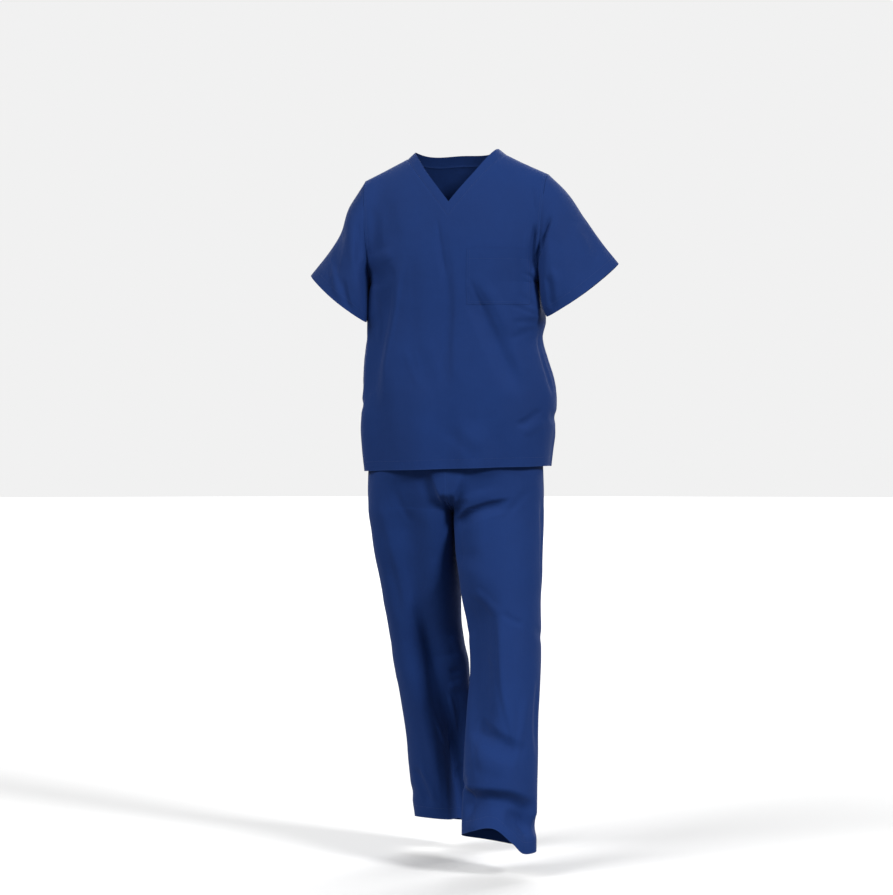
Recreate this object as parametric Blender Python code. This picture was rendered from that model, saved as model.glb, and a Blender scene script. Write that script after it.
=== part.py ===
"""Medical scrubs as they are worn: a V-neck top over straight trousers, hollow, with no wearer inside.

The origin is the middle of the line between the two neck points, where the shoulders carry the top. +Z is up, the
chest faces -Y and the wearer's left is +X. Each garment is shaped as one skin. Every maker's piece is then cut out
of its skin, set back half a seam gap from its edges and given the wall of the cloth.
"""
import math
from collections import namedtuple

import bmesh
import bpy
from mathutils import Vector

# Driving dimensions, in metres
CLOTH = 0.002            # wall of the cloth
SEAM_GAP = 0.0003        # between two pieces at a seam
UNDERARM = -0.300        # height of the underarm points
CHEST_LINE = -0.205      # rows of the top are level up to here
HEM_MIDDLE = -0.712      # hem of the top at the middle
HEM_TILT = 0.006         # the wearer's left end of the hem is this much higher
ARMHOLE_LOW = 0.190      # reach of the armhole seam at the underarm
ARMHOLE_HIGH = 0.207     # and at the shoulder
ARMHOLE_FRONT = 0.066    # half depth of the armhole, forwards
ARMHOLE_BACK = 0.070     # and backwards
SHOULDER_SET_BACK = 0.012  # the shoulder seam lies this far behind the side seams
CHEST_ROUND = 2.4        # roundness of the top's level sections: 2 is an ellipse
ARMHOLE_ROUND = 2.2
NECK_SIDE = 0.095        # reach of the neck edge on the shoulders
NECK_SEAM = 0.546        # reach of the band's seam on the shoulders, as a share of the armhole's
V_TIP = -0.1225          # height of the tip of the neck edge
V_SEAM_TIP = -0.156      # height of the tip of the band's seam
BACK_NECK = 0.062        # neck edge behind the shoulder seam, at the middle of the back
BACK_NECK_SEAM = 0.072   # the band's seam there
BAND_STAND = 0.007       # the neck edge stands up this much from the shoulders
POCKET_SIDES = (0.044, 0.178)
POCKET_HEIGHTS = (-0.352, -0.229)

CROTCH = -0.800          # height of the crotch point
CROTCH_FORWARD = 0.003
SEAT_TOP = -0.600        # from here down the hips part into two legs
WAIST_SEAM = -0.455      # top of the leg panels
WAIST_TOP = -0.420       # top of the waistband
HIP_ROUND = 2.4
LEG_ROUND = 2.05

# The top at the height of each row: reach of the right and left side seam, of the front and of the back
Torso = namedtuple("Torso", "height right left front back")
TORSO = [
    Torso(-0.716, 0.2075, 0.2085, 0.141, 0.138),
    Torso(-0.670, 0.2120, 0.2140, 0.143, 0.137),
    Torso(-0.625, 0.2146, 0.2205, 0.144, 0.134),
    Torso(-0.557, 0.2120, 0.2260, 0.143, 0.127),
    Torso(-0.512, 0.2100, 0.2190, 0.141, 0.121),
    Torso(-0.467, 0.2076, 0.2055, 0.138, 0.117),
    Torso(-0.424, 0.2030, 0.1945, 0.134, 0.115),
    Torso(-0.385, 0.2005, 0.2015, 0.131, 0.116),
    Torso(-0.345, 0.1970, 0.1975, 0.130, 0.121),
    Torso(-0.300, 0.1900, 0.1900, 0.129, 0.125),
]

# The line over the shoulders: height on the wearer's right and left at each reach from the middle
Shoulder = namedtuple("Shoulder", "reach right left")
SHOULDER = [
    Shoulder(-0.095, -0.006, -0.002),
    Shoulder(0.000, 0.034, 0.036),
    Shoulder(0.095, -0.006, -0.002),
    Shoulder(0.117, -0.017, -0.012),
    Shoulder(0.145, -0.031, -0.026),
    Shoulder(0.175, -0.046, -0.040),
    Shoulder(0.207, -0.0615, -0.0545),
]

# Rings of a sleeve from the armhole, 0, to its hem, 1: the end over the arm and the end under it (reach and height),
# how far the end under the arm lies ahead, how far the cloth stands before and behind the line between the ends, how
# far its front and back halves hang, and how round the ring is
Ring = namedtuple("Ring", "part over_reach over_height under_reach under_height ahead front back front_hang back_hang"
                          " round")
RIGHT_SLEEVE = [
    Ring(0.00, 0.2070, -0.0615, 0.1900, -0.300, 0.000, 0.066, 0.070, 0.000, 0.000, 2.20),
    Ring(0.25, 0.2450, -0.1200, 0.1965, -0.322, 0.004, 0.067, 0.070, 0.001, 0.000, 2.10),
    Ring(0.50, 0.2640, -0.1740, 0.2012, -0.343, 0.008, 0.065, 0.067, 0.002, 0.002, 2.00),
    Ring(0.75, 0.2920, -0.2180, 0.2060, -0.362, 0.012, 0.063, 0.064, 0.003, 0.006, 1.90),
    Ring(1.00, 0.3370, -0.2740, 0.2120, -0.379, 0.014, 0.060, 0.060, 0.004, 0.008, 1.75),
]
LEFT_SLEEVE = [
    Ring(0.00, 0.2070, -0.0545, 0.1900, -0.300, 0.000, 0.066, 0.070, 0.000, 0.000, 2.20),
    Ring(0.25, 0.2515, -0.0990, 0.1960, -0.320, 0.010, 0.067, 0.068, 0.001, 0.000, 2.10),
    Ring(0.50, 0.2860, -0.1520, 0.2000, -0.340, 0.018, 0.066, 0.064, 0.002, 0.002, 2.00),
    Ring(0.75, 0.3230, -0.2035, 0.2040, -0.357, 0.022, 0.063, 0.060, 0.002, 0.006, 1.85),
    Ring(1.00, 0.3640, -0.2565, 0.2085, -0.371, 0.024, 0.059, 0.057, 0.000, 0.008, 1.70),
]

# The hips at the height of each row: reach to the right, left, front and back
Hips = namedtuple("Hips", "height right left front back")
HIPS = [
    Hips(-0.800, 0.2000, 0.1980, 0.119, 0.116),
    Hips(-0.760, 0.2020, 0.1985, 0.122, 0.120),
    Hips(-0.700, 0.1985, 0.1950, 0.125, 0.123),
    Hips(-0.620, 0.1900, 0.1890, 0.121, 0.117),
    Hips(-0.540, 0.1790, 0.1790, 0.115, 0.102),
    Hips(-0.455, 0.1640, 0.1640, 0.104, 0.092),
    Hips(-0.420, 0.1640, 0.1640, 0.104, 0.092),
]

# A leg at the height of each row: where its middle is (reach from the centre, forwards) and its half width and depth
Leg = namedtuple("Leg", "height reach forward half_width half_depth")
RIGHT_LEG = [
    Leg(-1.540, 0.0310, -0.117, 0.0810, 0.0790),
    Leg(-1.420, 0.0430, -0.103, 0.0815, 0.0800),
    Leg(-1.300, 0.0505, -0.085, 0.0820, 0.0830),
    Leg(-1.200, 0.0640, -0.068, 0.0830, 0.0860),
    Leg(-1.150, 0.0685, -0.060, 0.0850, 0.0880),
    Leg(-1.110, 0.0743, -0.053, 0.0832, 0.0900),
    Leg(-1.060, 0.0805, -0.045, 0.0840, 0.0930),
    Leg(-1.000, 0.0850, -0.035, 0.0889, 0.0970),
    Leg(-0.950, 0.0883, -0.026, 0.0937, 0.1010),
    Leg(-0.900, 0.0945, -0.017, 0.0955, 0.1050),
    Leg(-0.850, 0.0965, -0.010, 0.0975, 0.1085),
    Leg(-0.800, 0.0995, -0.004, 0.0995, 0.1110),
    Leg(-0.600, 0.0960, 0.003, 0.0960, 0.1120),
]
LEFT_LEG = [
    Leg(-1.540, 0.1240, 0.184, 0.0820, 0.0795),
    Leg(-1.450, 0.1230, 0.166, 0.0815, 0.0795),
    Leg(-1.360, 0.1225, 0.143, 0.0810, 0.0800),
    Leg(-1.250, 0.1220, 0.113, 0.0788, 0.0820),
    Leg(-1.150, 0.1250, 0.088, 0.0775, 0.0860),
    Leg(-1.060, 0.1190, 0.066, 0.0810, 0.0910),
    Leg(-1.000, 0.1107, 0.052, 0.0870, 0.0970),
    Leg(-0.950, 0.1075, 0.040, 0.0925, 0.1010),
    Leg(-0.900, 0.1030, 0.029, 0.0955, 0.1050),
    Leg(-0.850, 0.1015, 0.018, 0.0970, 0.1085),
    Leg(-0.800, 0.0990, 0.009, 0.0990, 0.1110),
    Leg(-0.600, 0.0950, 0.003, 0.0950, 0.1120),
]

# Height of a leg's hem at angles round the leg, from the outer side over the front
Hem = namedtuple("Hem", "angle height")
RIGHT_HEM = [Hem(0, -1.510), Hem(60, -1.505), Hem(120, -1.509), Hem(180, -1.521), Hem(270, -1.530), Hem(360, -1.510)]
LEFT_HEM = [Hem(0, -1.537), Hem(38, -1.534), Hem(60, -1.510), Hem(92, -1.479), Hem(135, -1.490),
            Hem(180, -1.507), Hem(230, -1.522), Hem(290, -1.536), Hem(360, -1.537)]

# The largest folds, each a soft trough (or a ridge, with a depth below 0) from one end to the other. Across is X for
# folds seen from the front or back, Y for those seen from the wearer's left or right.
Fold = namedtuple("Fold", "facing across height across_end height_end reach depth")
TOP_FOLDS = [
    Fold("front", -0.013, -0.180, 0.007, -0.320, 0.022, 0.0060),
    Fold("front", 0.007, -0.320, 0.002, -0.540, 0.024, 0.0070),
    Fold("front", 0.028, -0.300, 0.024, -0.470, 0.020, -0.0040),
    Fold("front", -0.100, -0.250, -0.121, -0.363, 0.026, 0.0080),
    Fold("front", -0.121, -0.363, -0.150, -0.545, 0.030, 0.0100),
    Fold("front", -0.092, -0.330, -0.118, -0.500, 0.022, -0.0050),
    Fold("front", 0.062, -0.310, 0.120, -0.389, 0.024, 0.0060),
    Fold("front", 0.120, -0.389, 0.172, -0.530, 0.030, 0.0080),
    Fold("front", 0.185, -0.170, 0.176, -0.290, 0.020, 0.0070),
    Fold("front", -0.175, -0.170, -0.172, -0.300, 0.020, -0.0040),
    Fold("front", -0.060, -0.600, -0.064, -0.730, 0.034, -0.0060),
    Fold("front", 0.085, -0.620, 0.092, -0.730, 0.036, -0.0060),
    Fold("front", 0.010, -0.610, 0.020, -0.730, 0.030, 0.0050),
    Fold("back", -0.075, -0.200, -0.098, -0.560, 0.034, 0.0080),
    Fold("back", 0.082, -0.210, 0.104, -0.580, 0.034, 0.0080),
    Fold("back", 0.004, -0.260, -0.004, -0.440, 0.030, 0.0060),
    Fold("back", 0.045, -0.480, 0.050, -0.730, 0.034, -0.0060),
    Fold("back", -0.055, -0.500, -0.060, -0.730, 0.034, -0.0060),
    Fold("back", -0.150, -0.470, 0.150, -0.485, 0.026, 0.0050),
]
SEAT_FOLDS = [
    Fold("front", 0.004, -0.740, 0.000, -0.790, 0.026, 0.0060),
    Fold("front", 0.012, -0.812, 0.106, -0.775, 0.022, 0.0050),
    Fold("front", -0.095, -0.800, -0.030, -0.770, 0.022, 0.0040),
    Fold("back", -0.110, -0.840, -0.020, -0.790, 0.026, 0.0060),
    Fold("back", 0.110, -0.840, 0.020, -0.790, 0.026, 0.0060),
]
RIGHT_LEG_FOLDS = SEAT_FOLDS + [
    Fold("front", -0.140, -0.810, -0.088, -0.965, 0.028, 0.0080),
    Fold("front", -0.088, -0.965, -0.064, -1.110, 0.026, 0.0080),
    Fold("front", -0.080, -1.090, -0.024, -1.290, 0.024, -0.0060),
    Fold("front", -0.034, -1.240, 0.034, -1.400, 0.020, 0.0060),
    Fold("front", -0.010, -1.130, 0.030, -1.200, 0.020, 0.0060),
    Fold("front", -0.066, -1.380, -0.026, -1.450, 0.024, 0.0050),
    Fold("back", -0.120, -1.150, -0.010, -1.110, 0.024, 0.0070),
    Fold("back", -0.115, -1.190, -0.020, -1.175, 0.024, 0.0070),
    Fold("back", -0.080, -1.400, 0.010, -1.440, 0.028, 0.0060),
]
LEFT_LEG_FOLDS = SEAT_FOLDS + [
    Fold("front", 0.110, -1.030, 0.158, -1.055, 0.026, 0.0070),
    Fold("front", 0.052, -0.990, 0.112, -1.030, 0.024, 0.0050),
    Fold("front", 0.080, -1.270, 0.146, -1.322, 0.030, 0.0080),
    Fold("front", 0.170, -1.240, 0.135, -1.385, 0.024, -0.0060),
    Fold("front", 0.072, -1.310, 0.078, -1.385, 0.020, 0.0060),
    Fold("front", 0.062, -1.430, 0.195, -1.440, 0.026, 0.0080),
    Fold("back", 0.060, -1.140, 0.170, -1.110, 0.024, 0.0070),
    Fold("back", 0.070, -1.185, 0.170, -1.170, 0.024, 0.0070),
    Fold("back", 0.080, -1.440, 0.160, -1.410, 0.028, 0.0060),
]
SLEEVE_FOLDS = [
    Fold("front", 0.222, -0.120, 0.232, -0.300, 0.020, 0.0050),
    Fold("front", 0.262, -0.200, 0.262, -0.330, 0.020, -0.0050),
    Fold("back", 0.225, -0.130, 0.235, -0.320, 0.022, 0.0060),
    Fold("back", 0.275, -0.210, 0.270, -0.340, 0.020, -0.0050),
]

# How many cells each grid of cloth has
BAND_CELLS_FRONT, BAND_CELLS_BACK, SHOULDER_CELLS = 20, 12, 6
SIDE_CELLS, ARMHOLE_CELLS, SLEEVE_CELLS = 17, 14, 8
LEG_CELLS_FRONT, LEG_CELLS_BACK, SEAT_CELLS, LEG_CELLS = 12, 10, 10, 22

# Each piece and the colour of its cloth
NAVY = (0.016, 0.041, 0.150)
PIECES = ["top_front", "top_back", "right_sleeve", "left_sleeve", "neckband", "chest_pocket",
          "trousers_right_front", "trousers_right_back", "trousers_left_front", "trousers_left_back", "waistband"]


def blend(low, high, share):
    return low + (high - low) * share


def eased(share):
    share = min(max(share, 0.0), 1.0)
    return share * share * (3 - 2 * share)


def rounding(share, power):
    """How much depth is left at a share of the way to the edge of a rounded section: 1 at the middle, 0 there."""
    return max(0.0, 1 - min(abs(share), 1.0) ** power) ** (1 / power)


def look_up(rows, column, at):
    """A column of a table, on a smooth curve through its rows. The first column of the table is the one looked in."""
    keys = [row[0] for row in rows]
    values = [getattr(row, column) for row in rows]
    last = len(rows) - 1
    at = min(max(at, keys[0]), keys[-1])
    low = max(i for i in range(last) if keys[i] <= at)

    def slope(i):
        before, after = max(i - 1, 0), min(i + 1, last)
        return (values[after] - values[before]) / (keys[after] - keys[before])

    span = keys[low + 1] - keys[low]
    t = (at - keys[low]) / span
    return (values[low] * (1 + 2 * t) * (1 - t) ** 2 + slope(low) * span * t * (1 - t) ** 2
            + values[low + 1] * t * t * (3 - 2 * t) - slope(low + 1) * span * t * t * (1 - t))


def folded(folds, facing, across, height):
    """How far the folds of one facing press the cloth inwards at a place."""
    pressed = 0.0
    for fold in folds:
        if fold.facing != facing:
            continue
        run = Vector((fold.across_end - fold.across, fold.height_end - fold.height))
        off = Vector((across - fold.across, height - fold.height))
        along = off.dot(run) / run.length_squared
        beside = (off - run * along).length / fold.reach
        if beside < 1:
            ends = eased((along + 0.12) / 0.3) * eased((1.12 - along) / 0.3)
            pressed += fold.depth * (1 - beside ** 2) ** 2 * ends
    return pressed


# The top ------------------------------------------------------------------------------------------------------------

def shoulder_height(across):
    """Height of the line over the shoulders at a share of the armhole's reach, below 0 on the wearer's right."""
    reach = abs(across) * ARMHOLE_HIGH
    right, left = look_up(SHOULDER, "right", reach), look_up(SHOULDER, "left", reach)
    return blend(right, left, eased((across + 0.3) / 0.6))


def top_point(side, across, rise):
    """A point of the body of the top. side is -1 in front and 1 behind, across runs from -1 at the right side seam
    to 1 at the left, and rise is the height below the underarm or the share of the way up to the shoulder above it."""
    facing = "front" if side < 0 else "back"
    if rise < 0:
        height = rise
        reach = blend(look_up(TORSO, "right", height), look_up(TORSO, "left", height), (across + 1) / 2)
        x = across * reach
        depth = look_up(TORSO, facing, height) * rounding(across, CHEST_ROUND)
        middle = 0.0
    else:
        height = blend(UNDERARM, shoulder_height(across), rise)
        x = across * blend(ARMHOLE_LOW, ARMHOLE_HIGH, rise)
        chest = look_up(TORSO, facing, UNDERARM) * rounding(across, CHEST_ROUND) * rounding(rise, 2)
        arm = (ARMHOLE_FRONT if side < 0 else ARMHOLE_BACK) * rounding(2 * rise - 1, ARMHOLE_ROUND)
        arm *= eased((abs(across) - 0.5) / 0.5)
        depth = (chest ** 4 + arm ** 4) ** 0.25
        middle = SHOULDER_SET_BACK * rise
    calm = eased(depth / 0.06)
    depth -= calm * folded(TOP_FOLDS, facing, x, height)
    return Vector((x, middle + side * depth, height))


def neck_rise(side, share, inner):
    """Rise of the neck edge (inner) or of the band's seam, at a share of the way from the middle to the shoulder."""
    across = share * (NECK_SIDE / ARMHOLE_HIGH if inner else NECK_SEAM)
    top = shoulder_height(across)
    if side < 0:
        side_height = shoulder_height(math.copysign(NECK_SIDE / ARMHOLE_HIGH if inner else NECK_SEAM, share))
        height = blend(V_TIP if inner else V_SEAM_TIP, side_height, abs(share))
        return min(1.0, (height - UNDERARM) / (top - UNDERARM))
    behind = (BACK_NECK if inner else BACK_NECK_SEAM) * math.sqrt(max(0.0, 1 - share ** 2))
    chest = TORSO[-1].back * rounding(across, CHEST_ROUND)
    return math.sqrt(max(0.0, 1 - (behind / chest) ** 2))


def body_place(side):
    """The grid of the front or back panel: columns from side to side, rows from the hem to the shoulder and neck."""
    middle_cells = BAND_CELLS_FRONT if side < 0 else BAND_CELLS_BACK
    cells = middle_cells + 2 * SHOULDER_CELLS
    rows = SIDE_CELLS + ARMHOLE_CELLS

    def place(column, row):
        from_middle = abs(column - 0.5) * cells
        if from_middle <= middle_cells / 2:
            across = NECK_SEAM * from_middle / (middle_cells / 2)
        else:
            out = (from_middle - middle_cells / 2) / SHOULDER_CELLS
            across = blend(NECK_SEAM, 1.0, math.sin(out * math.pi / 2))
        across = math.copysign(across, column - 0.5) * -side
        up = row * rows
        if up < SIDE_CELLS - 0.001:
            hem = HEM_MIDDLE + HEM_TILT * across
            return top_point(side, across, blend(hem, UNDERARM, up / SIDE_CELLS))
        level = (1 - math.cos(math.pi * (up - SIDE_CELLS) / ARMHOLE_CELLS)) / 2
        return top_point(side, across, row_rise(side, across, level))

    return cells, rows, place


def row_rise(side, across, level):
    """Rows above the underarm are level up to the chest line. Above it they close up to the shoulder or the neck."""
    inside = abs(across) < NECK_SEAM
    end = neck_rise(side, across / NECK_SEAM, False) if inside else 1.0
    shoulder = blend(shoulder_height(-1), shoulder_height(1), (across + 1) / 2)
    height = blend(UNDERARM, shoulder, level)
    span = shoulder_height(across) - UNDERARM
    if height <= CHEST_LINE:
        return (height - UNDERARM) / span
    end_height = UNDERARM + end * span
    done = (height - CHEST_LINE) / (shoulder - CHEST_LINE)
    return (blend(CHEST_LINE, end_height, done) - UNDERARM) / span


def band_place(side):
    """The neckband on the front or back: columns along the neck, rows from its seam to the neck edge."""
    def place(column, row):
        share = (2 * column - 1) * -side
        seam, edge = neck_rise(side, share, False), neck_rise(side, share, True)
        across = share * blend(NECK_SEAM, NECK_SIDE / ARMHOLE_HIGH, row)
        point = top_point(side, across, blend(seam, edge, row))
        stand = 1.0 if side > 0 else eased((abs(share) - 0.5) / 0.5)
        point.z += BAND_STAND * stand * row
        return point

    return (BAND_CELLS_FRONT if side < 0 else BAND_CELLS_BACK), 2, place


def sleeve_place(rings, hand):
    """A sleeve: columns from the armhole to the hem, rows once round from underarm to underarm. hand is 1 on the
    wearer's left."""
    def place(column, row):
        part = column if hand > 0 else 1 - column
        side = -1 if row <= 0.5 else 1
        level = (1 - math.cos(2 * math.pi * row)) / 2
        if part < 0.001:
            return top_point(side, hand, level)
        at = {name: look_up(rings, name, part) for name in Ring._fields[1:]}
        shape = rounding(2 * level - 1, at["round"])
        facing = "front" if side < 0 else "back"
        reach = blend(at["under_reach"], at["over_reach"], level)
        height = blend(at["under_height"], at["over_height"], level) - at[facing + "_hang"] * shape
        depth = at[facing] * shape
        depth -= eased(depth / 0.04) * folded(SLEEVE_FOLDS, facing, reach, height) * eased(part / 0.3)
        ahead = at["ahead"] * (1 - level)
        return Vector((hand * reach, SHOULDER_SET_BACK * level - ahead + side * depth, height))

    return SLEEVE_CELLS, 2 * ARMHOLE_CELLS, place


# The trousers -------------------------------------------------------------------------------------------------------

def hip_point(angle, height):
    """A point of the hips, at an angle from straight ahead, to the wearer's left above 0."""
    across, ahead = math.sin(angle), math.cos(angle)
    x = math.copysign(abs(across) ** (2 / HIP_ROUND), across) * look_up(HIPS, "left" if across > 0 else "right", height)
    y = math.copysign(abs(ahead) ** (2 / HIP_ROUND), ahead) * look_up(HIPS, "front" if ahead > 0 else "back", height)
    return Vector((x, -y, height))


def leg_point(rows, hand, angle, height):
    """A point of a leg, at an angle from its outer side: over the front above 0 and over the back below it."""
    across, ahead = math.cos(angle), math.sin(angle)
    across = math.copysign(abs(across) ** (2 / LEG_ROUND), across) * look_up(rows, "half_width", height)
    ahead = math.copysign(abs(ahead) ** (2 / LEG_ROUND), ahead) * look_up(rows, "half_depth", height)
    return Vector((hand * (look_up(rows, "reach", height) + across), -look_up(rows, "forward", height) - ahead, height))


def leg_place(rows, folds, hems, hand, side, cells):
    """A leg panel: columns from the side seam to the seam between the legs, rows from the hem to the waist seam.
    side is -1 on the front panel and 1 on the back."""
    facing = "front" if side < 0 else "back"
    above = 7

    def place(column, row):
        inwards = 1 - column if hand * side < 0 else column
        angle = -side * math.pi * inwards
        up = row * (LEG_CELLS + SEAT_CELLS)
        ahead = abs(math.sin(angle))
        if up < LEG_CELLS - 0.001:
            hem = look_up(hems, "height", math.degrees(angle) % 360 if 0.001 < inwards else 0)
            height = blend(hem, CROTCH, up / LEG_CELLS)
            point = leg_point(rows, hand, angle, height)
        else:
            up -= LEG_CELLS
            if up <= above:
                height = blend(CROTCH, SEAT_TOP, math.sin(up / above * math.pi / 2) ** 1.3)
            else:
                height = blend(SEAT_TOP, WAIST_SEAM, (up - above) / (SEAT_CELLS - above))
            parting = min(max((SEAT_TOP - height) / (SEAT_TOP - CROTCH), 0.0), 1.0)
            curve = 1 - math.sqrt(1 - parting ** 2)
            parted = blend(eased(parting), curve, inwards ** 4)
            hip_angle = hand * (math.pi / 2 - math.pi / 2 * inwards)
            if side > 0:
                hip_angle = hand * math.pi - hip_angle
            leg = leg_point(rows, hand, angle, height)
            leg = blend(leg, Vector((0, -CROTCH_FORWARD, height)), inwards ** 8)
            point = blend(hip_point(hip_angle, height), leg, parted)
            if inwards > 0.999:
                point.x = 0
            ahead = blend(abs(math.cos(hip_angle)), ahead, eased(parting))
        ahead *= eased((WAIST_SEAM - height) / 0.1)
        point.y -= side * ahead * folded(folds, facing, point.x, point.z)
        return point

    return cells, LEG_CELLS + SEAT_CELLS, place


def waistband_place(start, turn):
    """A quarter of the waistband, so that its columns meet those of the leg panel below it."""
    def place(column, row):
        angle = start + turn * column
        return hip_point(angle, blend(WAIST_SEAM, WAIST_TOP, row))

    return place


# Cutting the pieces out ---------------------------------------------------------------------------------------------

def add_cloth(skin, piece, columns, rows, place):
    """Lay a grid of cloth on its place in a garment's skin and mark it as one piece."""
    grid = bmesh.ops.create_grid(skin, x_segments=columns, y_segments=rows, size=0.5)
    faces = {face for vert in grid["verts"] for face in vert.link_faces}
    for vert in grid["verts"]:
        vert.co = place(vert.co.x + 0.5, vert.co.y + 0.5)
    for face in faces:
        face.material_index = PIECES.index(piece)


def closed_skin(skin):
    """Join the grids of a skin where they meet, and keep each point's outward direction with it."""
    bmesh.ops.remove_doubles(skin, verts=skin.verts, dist=0.00002)
    bmesh.ops.triangulate(skin, faces=skin.faces, quad_method="SHORT_EDGE")
    skin.normal_update()
    outward = skin.verts.layers.float_vector.new("outward")
    for vert in skin.verts:
        vert[outward] = vert.normal
    return skin


def set_back(cloth, outward):
    """Draw the open edges of a piece in by half the seam gap, square to the wall that stands on each edge."""
    moves = {}
    for edge in cloth.edges:
        if not edge.is_boundary:
            continue
        first, second = edge.verts
        inwards = (second.co - first.co).cross(first[outward] + second[outward]).normalized()
        if inwards.dot(edge.link_faces[0].calc_center_median() - (first.co + second.co) / 2) < 0:
            inwards.negate()
        moves.setdefault(first, []).append(inwards)
        moves.setdefault(second, []).append(inwards)
    for vert, (one, other) in moves.items():
        vert.co += (one + other) / (1 + one.dot(other)) * SEAM_GAP / 2


def make_piece(skin, piece, keep, lift=0.0):
    """Cut the faces to keep out of a skin and give them the wall of the cloth, which lift carries outwards."""
    cloth = skin.copy()
    bmesh.ops.delete(cloth, geom=[face for face in cloth.faces if not keep(face)], context="FACES")
    outward = cloth.verts.layers.float_vector["outward"]
    set_back(cloth, outward)
    outer = list(cloth.verts)
    wall = bmesh.ops.extrude_face_region(cloth, geom=cloth.faces[:])
    inner = [item for item in wall["geom"] if isinstance(item, bmesh.types.BMVert)]
    for verts, move in ((inner, lift - CLOTH), (outer, lift)):
        for vert in verts:
            vert.co += vert[outward] * move
    bmesh.ops.triangulate(cloth, faces=cloth.faces, quad_method="SHORT_EDGE")
    bmesh.ops.recalc_face_normals(cloth, faces=cloth.faces)
    for face in cloth.faces:
        face.material_index = 0
        face.smooth = True
    mesh = bpy.data.meshes.new(piece)
    cloth.to_mesh(mesh)
    cloth.free()
    mesh.materials.append(cloth_material(piece))
    body = bpy.data.objects.new(piece, mesh)
    bpy.context.scene.collection.objects.link(body)
    return body


def cloth_material(piece):
    material = bpy.data.materials.new(piece)
    material.use_nodes = True
    shader = material.node_tree.nodes["Principled BSDF"]
    shader.inputs["Base Color"].default_value = (*NAVY, 1)
    shader.inputs["Roughness"].default_value = 0.85
    shader.inputs["Metallic"].default_value = 0.0
    return material


def is_piece(piece):
    index = PIECES.index(piece)
    return lambda face: face.material_index == index


def in_pocket(face):
    middle = face.calc_center_median()
    across = POCKET_SIDES[0] < middle.x < POCKET_SIDES[1]
    return is_piece("top_front")(face) and across and POCKET_HEIGHTS[0] < middle.z < POCKET_HEIGHTS[1]


def make_top():
    skin = bmesh.new()
    for side, piece in ((-1, "top_front"), (1, "top_back")):
        add_cloth(skin, piece, *body_place(side))
        add_cloth(skin, "neckband", *band_place(side))
    add_cloth(skin, "right_sleeve", *sleeve_place(RIGHT_SLEEVE, -1))
    add_cloth(skin, "left_sleeve", *sleeve_place(LEFT_SLEEVE, 1))
    closed_skin(skin)
    made = [make_piece(skin, piece, is_piece(piece)) for piece in PIECES[:5]]
    made.append(make_piece(skin, "chest_pocket", in_pocket, lift=CLOTH + SEAM_GAP))
    skin.free()
    return made


def make_trousers():
    skin = bmesh.new()
    for name, rows, folds, hems, hand in (("right", RIGHT_LEG, RIGHT_LEG_FOLDS, RIGHT_HEM, -1),
                                          ("left", LEFT_LEG, LEFT_LEG_FOLDS, LEFT_HEM, 1)):
        for side, part, cells in ((-1, "front", LEG_CELLS_FRONT), (1, "back", LEG_CELLS_BACK)):
            add_cloth(skin, f"trousers_{name}_{part}", *leg_place(rows, folds, hems, hand, side, cells))
    quarter = math.pi / 2
    for start, cells in ((-quarter, LEG_CELLS_FRONT), (0, LEG_CELLS_FRONT),
                         (quarter, LEG_CELLS_BACK), (2 * quarter, LEG_CELLS_BACK)):
        add_cloth(skin, "waistband", cells, 2, waistband_place(start, quarter))
    closed_skin(skin)
    made = [make_piece(skin, piece, is_piece(piece)) for piece in PIECES[6:]]
    skin.free()
    return made


def main():
    for old in list(bpy.data.objects):
        bpy.data.objects.remove(old)
    for name, pieces in (("scrub_top", make_top()), ("scrub_trousers", make_trousers())):
        garment = bpy.data.objects.new(name, None)
        bpy.context.scene.collection.objects.link(garment)
        for piece in pieces:
            piece.parent = garment


main()
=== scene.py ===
import math

import bmesh
import bpy
import numpy as np
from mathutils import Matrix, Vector
from mathutils.bvhtree import BVHTree
from mathutils.kdtree import KDTree


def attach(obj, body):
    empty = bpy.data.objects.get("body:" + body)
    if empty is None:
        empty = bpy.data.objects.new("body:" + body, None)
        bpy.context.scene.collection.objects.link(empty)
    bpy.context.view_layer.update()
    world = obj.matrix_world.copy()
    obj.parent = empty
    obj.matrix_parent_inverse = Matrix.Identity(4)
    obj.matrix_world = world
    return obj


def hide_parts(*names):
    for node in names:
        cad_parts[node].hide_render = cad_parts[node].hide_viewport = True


# Medical scrubs as worn: V-neck top over straight trousers, hollow, no wearer.
# +Z up, chest towards -Y, wearer's left is +X. Lengths in metres.
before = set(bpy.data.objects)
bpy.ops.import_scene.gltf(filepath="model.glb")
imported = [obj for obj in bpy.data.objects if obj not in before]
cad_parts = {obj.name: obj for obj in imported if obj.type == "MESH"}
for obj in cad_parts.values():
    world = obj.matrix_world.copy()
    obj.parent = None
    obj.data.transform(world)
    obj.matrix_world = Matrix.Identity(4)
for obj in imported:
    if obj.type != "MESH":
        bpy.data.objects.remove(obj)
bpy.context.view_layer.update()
print("frame:", len(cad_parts), "nodes")


def meshOf(form, name):
    mesh = bpy.data.meshes.new(name)
    form.to_mesh(mesh)
    form.free()
    return mesh


def addObject(name, data):
    made = bpy.data.objects.new(name, data)
    bpy.context.scene.collection.objects.link(made)
    return made


# ---- materials: nodes written as expressions on sockets

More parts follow.
